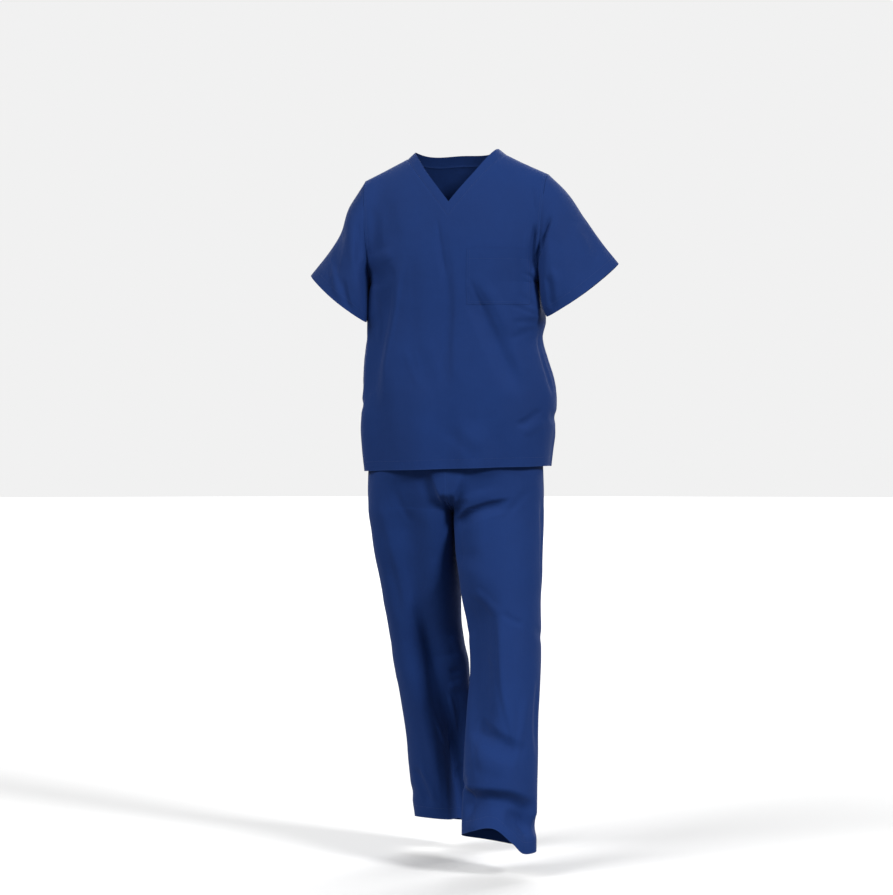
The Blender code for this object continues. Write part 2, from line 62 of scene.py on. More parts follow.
class Num:
    # a number in a material: the usual signs add Math nodes
    def __init__(self, paint, socket):
        self.paint, self.socket = paint, socket

    def math(self, operation, *values):
        return self.paint.add("ShaderNodeMath", {"operation": operation}, *values)

    def __add__(self, other): return self.math("ADD", self, other)
    def __radd__(self, other): return self.math("ADD", other, self)
    def __sub__(self, other): return self.math("SUBTRACT", self, other)
    def __rsub__(self, other): return self.math("SUBTRACT", other, self)
    def __mul__(self, other): return self.math("MULTIPLY", self, other)
    def __rmul__(self, other): return self.math("MULTIPLY", other, self)
    def __truediv__(self, other): return self.math("DIVIDE", self, other)
    def __rtruediv__(self, other): return self.math("DIVIDE", other, self)
    def sine(self): return self.math("SINE", self)
    def size(self): return self.math("ABSOLUTE", self)
    def clipped(self): return self.math("MAXIMUM", self.math("MINIMUM", self, 1.0), 0.0)


class Paint:
    def __init__(self, name, kind=bpy.data.materials, shader="Principled BSDF"):
        self.made = kind.new(name)
        self.made.use_nodes = True
        self.tree = self.made.node_tree
        self.shader = self.tree.nodes[shader]

    def add(self, kind, settings=None, *values, out=0, **named):
        node = self.tree.nodes.new(kind)
        for key, value in (settings or {}).items():
            setattr(node, key, value)
        for socket, value in zip(node.inputs, values):
            self.feed(socket, value)
        for key, value in named.items():
            self.feed(node.inputs[key.replace("_", " ")], value)
        return Num(self, node.outputs[out])

    def feed(self, socket, value):
        if isinstance(value, Num):
            self.tree.links.new(value.socket, socket)
        else:
            socket.default_value = value

    def blend(self, share, low, high):
        node = self.tree.nodes.new("ShaderNodeMix")
        node.data_type = "RGBA"
        for socket, value in ((node.inputs[0], share), (node.inputs[6], low), (node.inputs[7], high)):
            self.feed(socket, value if isinstance(value, (Num, float)) else (*value, 1))
        return Num(self, node.outputs[2])

    def set(self, **values):
        for key, value in values.items():
            self.feed(self.shader.inputs[key.replace("_", " ")], value)


# ---- camera, lights and floor

studio = {
    "azimuth": 10.0, "distance": 5.4, "aimX": -0.022, "aimZ": -0.665, "lens": 96.75,
    "floorZ": -1.592, "floorRadius": 40, "floorNear": 0.74, "floorFar": 0.92, "floorBounce": 0.30, "fade": (2.5, 10.0),
    "backdrop": 0.88, "ambient": 0.12,
    # lamps far away: azimuth, height above the horizon, softness in degrees, strength
    "lamps": {"key": (56.0, 28.0, 13.0, 2.7), "fill": (-44.0, 40.0, 30.0, 2.25),
              "behind": (168.0, 32.0, 40.0, 2.2), "behindLeft": (-152.0, 26.0, 40.0, 1.2)},
}


def buildStudio(cfg):
    scene = bpy.context.scene
    a = math.radians(cfg["azimuth"])
    across, away = Vector((math.cos(a), math.sin(a), 0)), Vector((math.sin(a), -math.cos(a), 0))
    cam = addObject("camera", bpy.data.cameras.new("camera"))
    cam.data.lens, cam.data.sensor_width = cfg["lens"], 36.0
    cam.location = across * cfg["aimX"] + away * cfg["distance"] + Vector((0, 0, cfg["aimZ"]))
    cam.rotation_euler = (math.pi / 2, 0, a)
    scene.camera = cam
    for name, (azimuth, height, soft, strength) in cfg["lamps"].items():
        lamp = addObject(name, bpy.data.lights.new(name, "SUN"))
        lamp.data.energy, lamp.data.angle = strength, math.radians(soft)
        lamp.rotation_euler = (math.pi / 2 - math.radians(height), 0, math.radians(azimuth))
        lamp.location = (0, 0, 2)
    scene.view_settings.view_transform = "Standard"

    # the backdrop is paler than the light that the room gives
    room = Paint("paleRoom", bpy.data.worlds, "Background")
    white = (1, 1, 1, 1)
    room.set(Color=white, Strength=cfg["ambient"])
    choose = room.add("ShaderNodeMixShader", None, room.add("ShaderNodeLightPath"), Num(room, room.shader.outputs[0]),
                      room.add("ShaderNodeBackground", None, white, cfg["backdrop"]))
    room.tree.links.new(choose.socket, room.tree.nodes["World Output"].inputs["Surface"])
    scene.world = room.made

    bm = bmesh.new()
    bmesh.ops.create_circle(bm, cap_ends=True, segments=64, radius=cfg["floorRadius"])
    bmesh.ops.translate(bm, verts=bm.verts, vec=(0, 0, cfg["floorZ"]))
    floor = addObject("floor", meshOf(bm, "floor"))
    paint = Paint("floorPaint")
    reach = paint.add("ShaderNodeVectorMath", {"operation": "LENGTH"}, paint.add("ShaderNodeTexCoord", out=3), out=1)
    fade = paint.add("ShaderNodeMapRange", {"interpolation_type": "SMOOTHSTEP"}, reach,
                     *cfg["fade"], cfg["floorNear"], cfg["floorFar"])
    # seen paler than the light that it throws back
    color = paint.add("ShaderNodeMix", None, paint.add("ShaderNodeLightPath"), A=cfg["floorBounce"], B=fade)
    paint.set(Base_Color=color, Roughness=0.95, Specular_IOR_Level=0.0)
    floor.data.materials.append(paint.made)


buildStudio(studio)
print("studio ready")


# ---- small maths, on whole arrays of points

def metres(rows):
    return [[value / 1000 for value in row] for row in rows]


# tells rows and columns of cells on a border from the next ones
tiny = 0.0001


def mix(low, high, share):
    return low + (high - low) * share


def eased(share):
    share = np.clip(share, 0.0, 1.0)
    return share * share * (3 - 2 * share)


def rounding(share, power):
    # depth left at a share of the way to the edge of a rounded section
    return np.maximum(0.0, 1 - np.minimum(np.abs(share), 1.0) ** power) ** (1 / power)


def lookUp(rows, at):
    # smooth curves through the columns of a table, whose first column is the one looked in
    keys, *values = np.array(rows).T
    values = np.array(values)
    slopes = np.empty(values.shape)
    slopes[:, 1:-1] = (values[:, 2:] - values[:, :-2]) / (keys[2:] - keys[:-2])
    slopes[:, 0] = (values[:, 1] - values[:, 0]) / (keys[1] - keys[0])
    slopes[:, -1] = (values[:, -1] - values[:, -2]) / (keys[-1] - keys[-2])
    at = np.clip(at, keys[0], keys[-1])
    low = np.clip(np.searchsorted(keys, at, side="right") - 1, 0, len(keys) - 2)
    span = keys[low + 1] - keys[low]
    t = (at - keys[low]) / span
    return (values[:, low] * (1 + 2 * t) * (1 - t) ** 2 + slopes[:, low] * span * t * (1 - t) ** 2
            + values[:, low + 1] * t * t * (3 - 2 * t) - slopes[:, low + 1] * span * t * t * (1 - t))


def lengthsAlong(net, axis=0):
    # distance along each line of points from its first point
    return np.insert(np.cumsum(np.linalg.norm(np.diff(net, axis=axis), axis=-1), axis=axis), 0, 0, axis=axis)


def signedPower(value, power):
    return np.sign(value) * np.abs(value) ** power


def unevenness(place, seed, size):
    # soft, aimless undulation of worn cloth
    x, y, z = (place / size).T
    s = 1.7 * seed
    a = np.sin(x * 2.1 + 1.3 * np.sin(z * 1.1 + s) + s) * np.sin(z * 1.4 + 1.1 * np.sin(y * 1.9 - s))
    b = np.sin(z * 2.3 - y * 1.2 + 1.6 * np.sin(x * 1.3 + s * 2) + s * 3)
    c = np.sin(x * 1.7 + y * 2.2 + 0.9 * np.sin(z * 2.7 - s) + 2.1)
    return (a + 0.5 * b + 0.5 * c) / 2


# ---- the top: shape

topShape = {
    "underarm": -0.3, "chestLine": -0.205, "hemMiddle": -0.712, "hemTilt": 0.006,
    "armholeLow": 0.19, "armholeHigh": 0.207, "armholeFront": 0.066, "armholeBack": 0.07,
    "shoulderSetBack": 0.012, "round": 2.4, "armholeRound": 2.2,
    "neckSide": 0.095, "neckSeam": 0.546, "tip": -0.1225, "seamTip": -0.156,
    "backNeck": 0.062, "backNeckSeam": 0.072, "bandStand": 0.007,
    # in millimetres: height, right, left, front, back
    "rows": metres([
        (-716, 207.5, 208.5, 141, 138), (-670, 212, 214, 143, 137), (-625, 214.6, 220.5, 144, 134),
        (-557, 212, 226, 143, 127), (-512, 210, 219, 141, 121), (-467, 207.6, 205.5, 138, 117),
        (-424, 203, 194.5, 134, 115), (-385, 200.5, 201.5, 131, 116), (-345, 197, 197.5, 130, 121),
        (-300, 190, 190, 129, 125),
    ]),
    # in millimetres: reach, height on the right, on the left
    "shoulder": metres([
        (-95, -6, -2), (0, 34, 36), (95, -6, -2), (117, -17, -12), (145, -31, -26), (175, -46, -40),
        (207, -61.5, -54.5),
    ]),
}

sleeveShape = {
    # part, over reach and height, under reach and height, ahead, front, back, front hang, back hang, round
    "right": [
        (0, 0.207, -0.0615, 0.19, -0.3, 0, 0.066, 0.07, 0, 0, 2.2),
        (0.25, 0.245, -0.12, 0.1915, -0.324, 0.032, 0.067, 0.07, 0.001, 0, 2.1),
        (0.5, 0.264, -0.174, 0.1915, -0.346, 0.05, 0.063, 0.067, 0.002, 0.002, 1.95),
        (0.75, 0.292, -0.218, 0.192, -0.367, 0.058, 0.059, 0.064, 0.004, 0.004, 1.8),
        (1, 0.337, -0.274, 0.193, -0.385, 0.061, 0.055, 0.06, 0.006, 0.004, 1.65),
    ],
    "left": [
        (0, 0.207, -0.0545, 0.19, -0.3, 0, 0.066, 0.07, 0, 0, 2.2),
        (0.25, 0.2515, -0.099, 0.194, -0.32, 0.03, 0.066, 0.068, 0.002, 0, 2.1),
        (0.5, 0.286, -0.152, 0.198, -0.341, 0.046, 0.063, 0.064, 0.006, 0, 1.9),
        (0.75, 0.323, -0.2035, 0.204, -0.36, 0.054, 0.059, 0.06, 0.012, 0, 1.75),
        (1, 0.364, -0.2565, 0.212, -0.376, 0.058, 0.055, 0.057, 0.017, 0.002, 1.6),
    ],
}

# shares of a sleeve over which the body's folds fade out and its own fade in, and what the band keeps of the folds
topCalm = {"sleeve": 0.22, "sleeveFolds": 0.09, "band": 0.25}
# cells of cloth across or along each stretch
topCells = {"bandFront": 72, "bandBack": 60, "shoulder": 42, "side": 120, "armhole": 74, "sleeve": 56, "band": 7}


def shoulderHeight(across):
    cfg = topShape
    right, left = lookUp(cfg["shoulder"], np.abs(across) * cfg["armholeHigh"])
    return mix(right, left, eased((across + 0.3) / 0.6))


def topPoint(side, across, rise):
    # side is -1 in front, across runs -1..1 from the right seam; rise is a height below the underarm, or a share
    # of the way from there to the shoulder
    cfg, facing = topShape, 3 if side < 0 else 4
    low = np.minimum(rise, cfg["underarm"])
    right, left, front, back = lookUp(cfg["rows"], low)
    xLow = across * mix(right, left, (across + 1) / 2)
    depthLow = (front if side < 0 else back) * rounding(across, cfg["round"])
    share = np.maximum(rise, 0)
    zHigh = mix(cfg["underarm"], shoulderHeight(across), share)
    xHigh = across * mix(cfg["armholeLow"], cfg["armholeHigh"], share)
    chest = cfg["rows"][-1][facing] * rounding(across, cfg["round"]) * rounding(share, 2)
    arm = (cfg["armholeFront"] if side < 0 else cfg["armholeBack"]) * rounding(2 * share - 1, cfg["armholeRound"])
    arm = arm * eased((np.abs(across) - 0.5) / 0.5)
    depthHigh = (chest ** 4 + arm ** 4) ** 0.25
    below = rise < 0
    x, z = np.where(below, xLow, xHigh), np.where(below, low, zHigh)
    y = np.where(below, 0.0, cfg["shoulderSetBack"] * share) + side * np.where(below, depthLow, depthHigh)
    return np.stack([x, y, z], 1)


def neckRise(side, share, inner):
    cfg = topShape
    edge = cfg["neckSide"] / cfg["armholeHigh"] if inner else cfg["neckSeam"]
    top = shoulderHeight(share * edge)
    if side < 0:
        sideHeight = shoulderHeight(np.where(share < 0, -edge, edge))
        height = mix(cfg["tip"] if inner else cfg["seamTip"], sideHeight, np.abs(share))
        return np.minimum(1.0, (height - cfg["underarm"]) / (top - cfg["underarm"]))
    behind = (cfg["backNeck"] if inner else cfg["backNeckSeam"]) * np.sqrt(np.maximum(0.0, 1 - share ** 2))
    chest = cfg["rows"][-1][4] * rounding(share * edge, cfg["round"])
    return np.sqrt(np.maximum(0.0, 1 - (behind / chest) ** 2))


def rowRise(side, across, level):
    # rows are level up to the chest line, and close up to the shoulder or the neck above it
    cfg = topShape
    inside = np.abs(across) < cfg["neckSeam"]
    end = np.where(inside, neckRise(side, np.clip(across / cfg["neckSeam"], -1, 1), False), 1.0)
    shoulder = mix(shoulderHeight(np.array([-1.0])), shoulderHeight(np.array([1.0])), (across + 1) / 2)
    height = mix(cfg["underarm"], shoulder, level)
    span = shoulderHeight(across) - cfg["underarm"]
    done = np.maximum(height - cfg["chestLine"], 0) / (shoulder - cfg["chestLine"])
    closed = mix(cfg["chestLine"], cfg["underarm"] + end * span, done)
    return (np.where(height <= cfg["chestLine"], height, closed) - cfg["underarm"]) / span


def closeToEdges(share, cells, shift=0.55):
    # brings the first and last lines of cells near the seams, by a share of a cell, for crisp edges there
    share = share - shift / cells * np.maximum(0, 1 - np.abs(share * cells - 1))
    return share + shift / cells * np.maximum(0, 1 - np.abs((1 - share) * cells - 1))


def bodyPlace(side):
    cells = topCells
    middle = cells["bandFront" if side < 0 else "bandBack"]
    columns = middle + 2 * cells["shoulder"]
    rows = cells["side"] + cells["armhole"]

    def place(column, row):
        column = closeToEdges(column, columns)
        away = np.abs(column - 0.5) * columns
        out = np.clip((away - middle / 2) / cells["shoulder"], 0, 1)
        across = np.where(away <= middle / 2, topShape["neckSeam"] * away / (middle / 2),
                          mix(topShape["neckSeam"], 1.0, np.sin(out * math.pi / 2)))
        across = np.sign(column - 0.5) * across * -side
        up = row * rows
        hem = topShape["hemMiddle"] + topShape["hemTilt"] * across
        low = mix(hem, topShape["underarm"], closeToEdges(np.clip(up / cells["side"], 0, 1), cells["side"]))
        level = (1 - np.cos(math.pi * np.clip((up - cells["side"]) / cells["armhole"], 0, 1))) / 2
        return topPoint(side, across, np.where(up < cells["side"] - tiny, low, rowRise(side, across, level)))

    return columns, rows, place


def bandPlace(side):
    def place(column, row):
        share = (2 * column - 1) * -side
        seam, edge = neckRise(side, share, False), neckRise(side, share, True)
        across = share * mix(topShape["neckSeam"], topShape["neckSide"] / topShape["armholeHigh"], row)
        point = topPoint(side, across, mix(seam, edge, row))
        stand = 1.0 if side > 0 else eased((np.abs(share) - 0.5) / 0.5)
        point[:, 2] += topShape["bandStand"] * stand * row
        return point

    return topCells["bandFront" if side < 0 else "bandBack"], topCells["band"], place


def sleevePlace(rings, hand):
    def place(column, row):
        part = closeToEdges(column if hand > 0 else 1 - column, topCells["sleeve"])
        side = np.where(row <= 0.5, -1, 1)
        level = (1 - np.cos(2 * math.pi * row)) / 2
        over, overHeight, under, underHeight, ahead, front, back, frontHang, backHang, power = lookUp(rings, part)
        shape = rounding(2 * level - 1, power)
        height = mix(underHeight, overHeight, level) - np.where(side < 0, frontHang, backHang) * shape
        forward = topShape["shoulderSetBack"] * level - ahead * (1 - level)
        depth = np.where(side < 0, front, back) * shape
        point = np.stack([hand * mix(under, over, level), forward + side * depth, height], 1)
        # the first ring is the armhole's own edge
        edge = np.full(len(level), float(hand))
        start = np.where((side < 0)[:, None], topPoint(-1, edge, level), topPoint(1, edge, level))
        return np.where((part < tiny)[:, None], start, point)

    return topCells["sleeve"], 2 * topCells["armhole"], place


# ---- the trousers: shape

trouserShape = {
    "crotch": -0.8, "crotchForward": 0.003, "seatTop": -0.6, "waistSeam": -0.455, "waistTop": -0.42,
    "hipRound": 2.4, "legRound": 2.05, "thighRound": 3.6, "thighReach": 0.1, "crotchRise": 0.034,
    "together": 0.03, "matchOver": 0.2, "partingDrop": 0.11,
    # folds stay away from the waist's seam and the crotch, and run on over the middle seam: across it, and above
    # the crotch
    "calmWaist": 0.1, "calmCrotch": 0.014, "overSeam": (0.04, 0.02),
    # in millimetres: height, right, left, front, back
    "hips": metres([
        (-800, 200, 198, 124, 116), (-760, 202, 198.5, 128, 120), (-700, 198.5, 195, 129, 123),
        (-620, 190, 189, 124, 117), (-540, 179, 179, 115, 102), (-455, 164, 164, 104, 92), (-420, 164, 164, 104, 92),
    ]),
    # in millimetres: height, reach of the middle, forwards, half width, half depth
    "rightLeg": metres([
        (-1540, 31, -117, 81, 79), (-1420, 43, -103, 81.5, 80), (-1300, 50.5, -85, 82, 83), (-1200, 64, -68, 83, 86),
        (-1150, 68.5, -60, 85, 88), (-1110, 74.3, -53, 83.2, 90), (-1060, 80.5, -45, 84, 93),
        (-1000, 85, -35, 88.9, 97), (-950, 88.3, -26, 93.7, 101), (-900, 94.5, -17, 95.5, 105),
        (-850, 96.5, -10, 97.5, 108.5), (-800, 99.5, -4, 99.5, 111), (-600, 96, 3, 96, 112),
    ]),
    "leftLeg": metres([
        (-1540, 124, 178, 82, 79.5), (-1450, 123, 162, 81.5, 79.5), (-1360, 122.5, 141, 81, 80),
        (-1250, 122, 113, 78.8, 82), (-1150, 125, 88, 77.5, 86), (-1060, 119, 66, 81, 91), (-1000, 110.7, 52, 87, 97),
        (-950, 107.5, 40, 92.5, 101), (-900, 103, 29, 95.5, 105), (-850, 101.5, 18, 97, 108.5), (-800, 99, 9, 99, 111),
        (-600, 95, 3, 95, 112),
    ]),
    # angle round the leg from its outer side over the front, height of the hem
    "rightHem": [(0, -1.51), (60, -1.505), (120, -1.509), (180, -1.521), (270, -1.53), (360, -1.51)],
    "leftHem": [(0, -1.537), (38, -1.534), (60, -1.51), (92, -1.479), (135, -1.49), (180, -1.507),
                (230, -1.522), (290, -1.536), (360, -1.537)],
}
trouserCells = {"around": 78, "leg": 180, "seat": 84, "above": 56, "band": 10}


def hipPoint(angle, height):
    cfg = trouserShape
    across, ahead = np.sin(angle), np.cos(angle)
    right, left, front, back = lookUp(cfg["hips"], height)
    power = 2 / cfg["hipRound"]
    return np.stack([signedPower(across, power) * np.where(across > 0, left, right),
                     -signedPower(ahead, power) * np.where(ahead > 0, front, back), height], 1)


def legPoint(rows, hand, angle, height):
    # rounded section, squarer where the insides of the thighs lie against each other
    cfg = trouserShape
    across, ahead = np.cos(angle), np.sin(angle)
    square = eased(-across / 0.3) * np.exp(-(np.maximum(cfg["crotch"] - height, 0) / cfg["thighReach"]) ** 2)
    power = mix(cfg["legRound"], cfg["thighRound"], square)
    length = (np.abs(across) ** power + np.abs(ahead) ** power) ** (-1 / power)
    middle, forwards, wide, deep = lookUp(rows, height)
    return np.stack([hand * (middle + across * length * wide), -forwards - ahead * length * deep, height], 1)


def legPlace(rows, hems, hand, side):
    cfg, cells = trouserShape, trouserCells
    total = cells["leg"] + cells["seat"]

    def place(column, row):
        column = closeToEdges(column, cells["around"])
        inwards = 1 - column if hand * side < 0 else column
        angle = -side * math.pi * inwards
        up = row * total
        hem = lookUp(hems, np.where(inwards > tiny, np.degrees(angle) % 360, 0))[0]
        share = np.clip(up / cells["leg"], 0, 1)
        legHeight = mix(hem, cfg["crotch"], mix(closeToEdges(share, cells["leg"]), np.sin(share * math.pi / 2), 0.4))
        up = np.clip(up - cells["leg"], 0, None)
        seatHeight = mix(cfg["crotch"], cfg["seatTop"], np.sin(np.clip(up / cells["above"], 0, 1) * math.pi / 2) ** 2.2)
        waistHeight = mix(cfg["seatTop"], cfg["waistSeam"],
                          np.clip((up - cells["above"]) / (cells["seat"] - cells["above"]), 0, 1))
        height = np.where(up <= 0, legHeight, np.where(up <= cells["above"], seatHeight, waistHeight))
        leg = legPoint(rows, hand, angle, height)
        # the insides of both legs meet at the crotch
        together = inwards ** 8 * np.exp(-np.maximum(cfg["crotch"] - height, 0) / cfg["together"])
        leg[:, 1] = mix(leg[:, 1], -cfg["crotchForward"], together)
        leg[:, 0] = mix(leg[:, 0], 0, together)
        # columns of cells run straight down from the hips into the legs
        level = np.full(len(angle), cfg["crotch"])
        middle, forwards, wide, deep = lookUp(rows, level)
        thigh = legPoint(rows, 1, angle, level)[:, 0] / (middle + wide)
        even = math.pi / 2 * (1 - inwards)
        matched = mix(even, np.arcsin(np.clip(thigh, 0, 1) ** 1.2), 0.75)
        hipAngle = hand * mix(even, matched, eased((cfg["waistSeam"] - height) / cfg["matchOver"]))
        if side > 0:
            hipAngle = hand * math.pi - hipAngle
        # the hips part into legs slowly at the outside, and in one quick turn at the crotch
        nearer, last = eased((inwards - 0.5) / 0.4), eased((inwards - 0.9) / 0.1)
        begin = mix(cfg["seatTop"], cfg["crotch"] + cfg["crotchRise"], nearer)
        finish = cfg["crotch"] - cfg["partingDrop"] * (1 - inwards ** 3)
        parting = np.clip((begin - height) / (begin - finish), 0, 1)
        parted = mix(eased(parting), 1 - np.sqrt(1 - parting ** 2), last)[:, None]
        point = mix(hipPoint(hipAngle, np.maximum(height, cfg["crotch"])), leg, parted)
        point[:, 2] = height
        point[:, 0] = np.where((inwards > 1 - tiny) & (height >= cfg["crotch"]), 0, point[:, 0])
        return point

    return cells["around"], total, place


def waistPlace(start, turn):
    def place(column, row):
        column = closeToEdges(column, trouserCells["around"])
        return hipPoint(start + turn * column, mix(trouserShape["waistSeam"], trouserShape["waistTop"], row))

    return trouserCells["around"], trouserCells["band"], place


# ---- folds, given in millimetres: path as pairs (across, down from the neck points), reach, depth,
# crispness, lean

topFolds = {"front": [
    # down from the tip of the V
    ((-22, 155, -13, 224, -3, 279, 1, 323, -1, 385, -6, 451, -8, 560), 20, 4.2, 0.2, 0.2),
    ((-25, 150, -19, 200, -10, 255, -4, 300), 6, 2.2, 0.9, 0.3),
    ((10, 250, 20, 319, 24, 385, 22, 451, 24, 560), 24, -2.6, 0.2, 0.3),
    ((-50, 190, -48, 290, -46, 380, -50, 520), 34, -2.6, 0.1),
    # hollow under the right arm, with a crest from the bust to the hip
    ((-98, 246, -108, 295, -116, 339, -128, 405, -140, 453, -154, 540), 16, -3.6, 0.6, -0.3),
    ((-150, 268, -150, 310, -156, 371, -170, 450, -184, 530, -190, 600), 42, 15, 0.3),
    ((-196, 292, -160, 286, -118, 268), 28, 4.5, 0.2), ((-205, 252, -165, 245, -118, 232), 20, -3, 0.2),
    ((-176, 330, -168, 380, -174, 440), 9, -2.2, 0.4),
    # from the left chest to the left hip
    ((52, 300, 72, 350, 94, 400, 118, 452, 142, 505, 158, 560), 27, 8.2, 0.3, -0.25),
    ((50, 290, 66, 330, 86, 372), 7, 1.6, 0.8, -0.2),
    ((60, 280, 98, 336, 124, 386, 144, 437, 168, 497, 190, 548), 17, -3.4, 0.5, 0.2),
    # drags from the left armpit
    ((199, 374, 177, 350, 150, 318), 8, 1.8, 0.5), ((199, 378, 174, 366, 136, 350), 8, 1.6, 0.5),
    ((198, 388, 172, 388, 138, 391), 10, 1.8, 0.4), ((194, 404, 168, 412, 134, 430), 11, 1.8, 0.3),
    ((160, 276, 181, 296, 192, 316), 7, 2.2, 0.4),
    # pushed out beneath both armpits
    ((182, 245, 186, 300, 190, 350, 192, 400), 28, -11, 0.2), ((-186, 270, -190, 325, -192, 400), 28, -8.5, 0.2),
    # slits beside the left armhole
    ((188, 166, 184, 215, 182, 242, 178, 280), 7, 8, 0.6, 0.1), ((206, 186, 197, 222, 188, 256), 7.5, 4, 0.5),
    ((172, 180, 170, 225, 166, 280), 10, -1.4, 0.3), ((176, 85, 181, 115, 186, 150), 8, 1.4, 0.3),
    # right shoulder, softer
    ((-178, 120, -174, 180, -168, 245), 20, 2.4, 0.1, 0.2), ((-150, 100, -138, 160, -120, 225), 30, 1.8, 0),
    # belly and hem
    ((150, 618, 176, 605, 205, 578), 10, 3.4, 0.5), ((160, 634, 186, 624, 212, 602), 14, -2.4, 0.3),
    ((-12, 622, 34, 658, 82, 700), 22, 1.2, 0.1, 0.2), ((14, 604, 58, 636, 104, 676), 30, -0.6, 0),
    ((-96, 440, -78, 490, -54, 545), 12, -0.9, 0.3), ((-42, 430, -28, 474, -18, 520), 12, -0.7, 0.2),
    ((-66, 430, -50, 480, -36, 545), 14, 1, 0.2), ((-172, 500, -164, 600, -158, 800), 52, 8.5, 0, 0.2),
    ((-46, 480, -52, 600, -56, 800), 50, -6.5, 0, -0.3), ((10, 560, 4, 680, 2, 800), 34, 4, 0.1),
    ((62, 600, 60, 690, 58, 800), 40, -4.2, 0.1), ((112, 600, 116, 690, 118, 800), 30, 3.2, 0.2),
    ((168, 610, 170, 670, 172, 800), 30, -3.4, 0.1),
], "back": [
    ((-60, 160, -75, 260, -86, 380, -98, 560), 32, 7.5, 0.2, 0.1),
    ((66, 170, 82, 270, 92, 400, 104, 580), 32, 8, 0.2, -0.1), ((2, 220, 6, 320, -4, 460), 26, 5.8, 0.3),
    ((-40, 300, -48, 380, -52, 470), 16, -3, 0.4), ((50, 310, 56, 390, 60, 480), 16, -3.2, 0.4),
    ((45, 470, 48, 600, 52, 760), 34, -6, 0.2), ((-55, 490, -57, 610, -62, 760), 34, -6, 0.2),
    ((-6, 560, -8, 640, -4, 760), 30, 4.5, 0.2), ((-150, 460, -70, 480, 20, 486, 90, 482, 155, 466), 24, 4.5, 0.3, 0.2),
    ((-140, 500, -60, 520, 50, 522, 145, 498), 20, -2.6, 0.3), ((-185, 330, -150, 370, -120, 420), 18, 4.5, 0.4),
    ((185, 320, 155, 360, 125, 420), 18, 5, 0.4), ((-188, 360, -160, 400, -138, 455), 10, -2.6, 0.6),
    ((188, 350, 162, 392, 140, 450), 10, -2.6, 0.6), ((-160, 90, -158, 160, -150, 240), 14, 4.2, 0.4),
    ((162, 85, 158, 150, 150, 230), 14, 4.5, 0.4), ((-180, 110, -178, 180, -172, 260), 9, -2.5, 0.5),
    ((182, 105, 179, 170, 172, 250), 9, -2.5, 0.5), ((-70, 45, -100, 80, -120, 130), 16, 1.8, 0.3),
    ((70, 42, 100, 76, 122, 126), 16, 1.8, 0.3), ((-160, 560, -140, 620, -125, 700), 18, 3.4, 0.4),
    ((165, 560, 145, 625, 132, 700), 18, 3.2, 0.4),
], "left": [
    ((20, 385, 30, 450, 28, 540), 16, 5, 0.4), ((-30, 400, -40, 470, -36, 560), 14, 3.6, 0.4),
    ((-4, 390, -6, 470, 4, 560), 12, -3, 0.5), ((-60, 590, 0, 600, 60, 585), 18, 3.2, 0.4),
    ((30, 600, 34, 670, 36, 760), 26, -4, 0.2),
], "right": [
    ((24, 390, 32, 450, 26, 530), 20, 2.6, 0.2), ((-24, 390, -34, 460, -30, 560), 18, 2.4, 0.2),
    ((0, 395, 0, 470, -4, 550), 12, -3, 0.5), ((-64, 560, -10, 575, 56, 568), 18, 3.2, 0.4),
    ((26, 610, 30, 680, 30, 760), 26, -4, 0.2),
]}

# across is outwards from the middle of the body for both sleeves
rightSleeveFolds = {"front": [
    ((203, 155, 196, 221, 200, 268), 10, -3, 0.6), ((212, 150, 208, 220, 212, 280), 12, 3, 0.4),
    ((245, 285, 234, 334, 222, 370), 11, 3.2, 0.4), ((280, 240, 261, 300, 245, 345), 12, -2.8, 0.4),
    ((255, 160, 262, 220, 272, 290), 20, 2.6, 0.2),
], "back": [
    ((222, 120, 228, 200, 235, 320), 20, 5.5, 0.4), ((262, 190, 266, 260, 262, 340), 18, -4, 0.4),
    ((205, 200, 214, 270, 222, 350), 10, -2.6, 0.6), ((290, 240, 290, 290, 286, 340), 14, 2.8, 0.4),
]}

leftSleeveFolds = {"front": [
    ((224, 150, 213, 180, 203, 212, 194, 250), 6.5, 7.5, 0.8), ((228, 180, 238, 235, 245, 300), 18, 2.4, 0.3),
    ((260, 160, 285, 220, 300, 280), 20, -2.2, 0.2), ((214, 280, 222, 320, 224, 365), 10, 3, 0.5),
    ((226, 262, 238, 310, 240, 360), 10, -2.4, 0.5), ((290, 170, 312, 215, 330, 260), 14, 1.8, 0.3),
], "back": [
    ((222, 120, 240, 200, 252, 310), 20, 5.5, 0.4), ((262, 170, 280, 240, 288, 310), 18, -4, 0.4),
    ((206, 190, 218, 260, 226, 340), 10, -2.6, 0.6), ((300, 200, 312, 250, 316, 300), 14, 2.8, 0.4),
]}

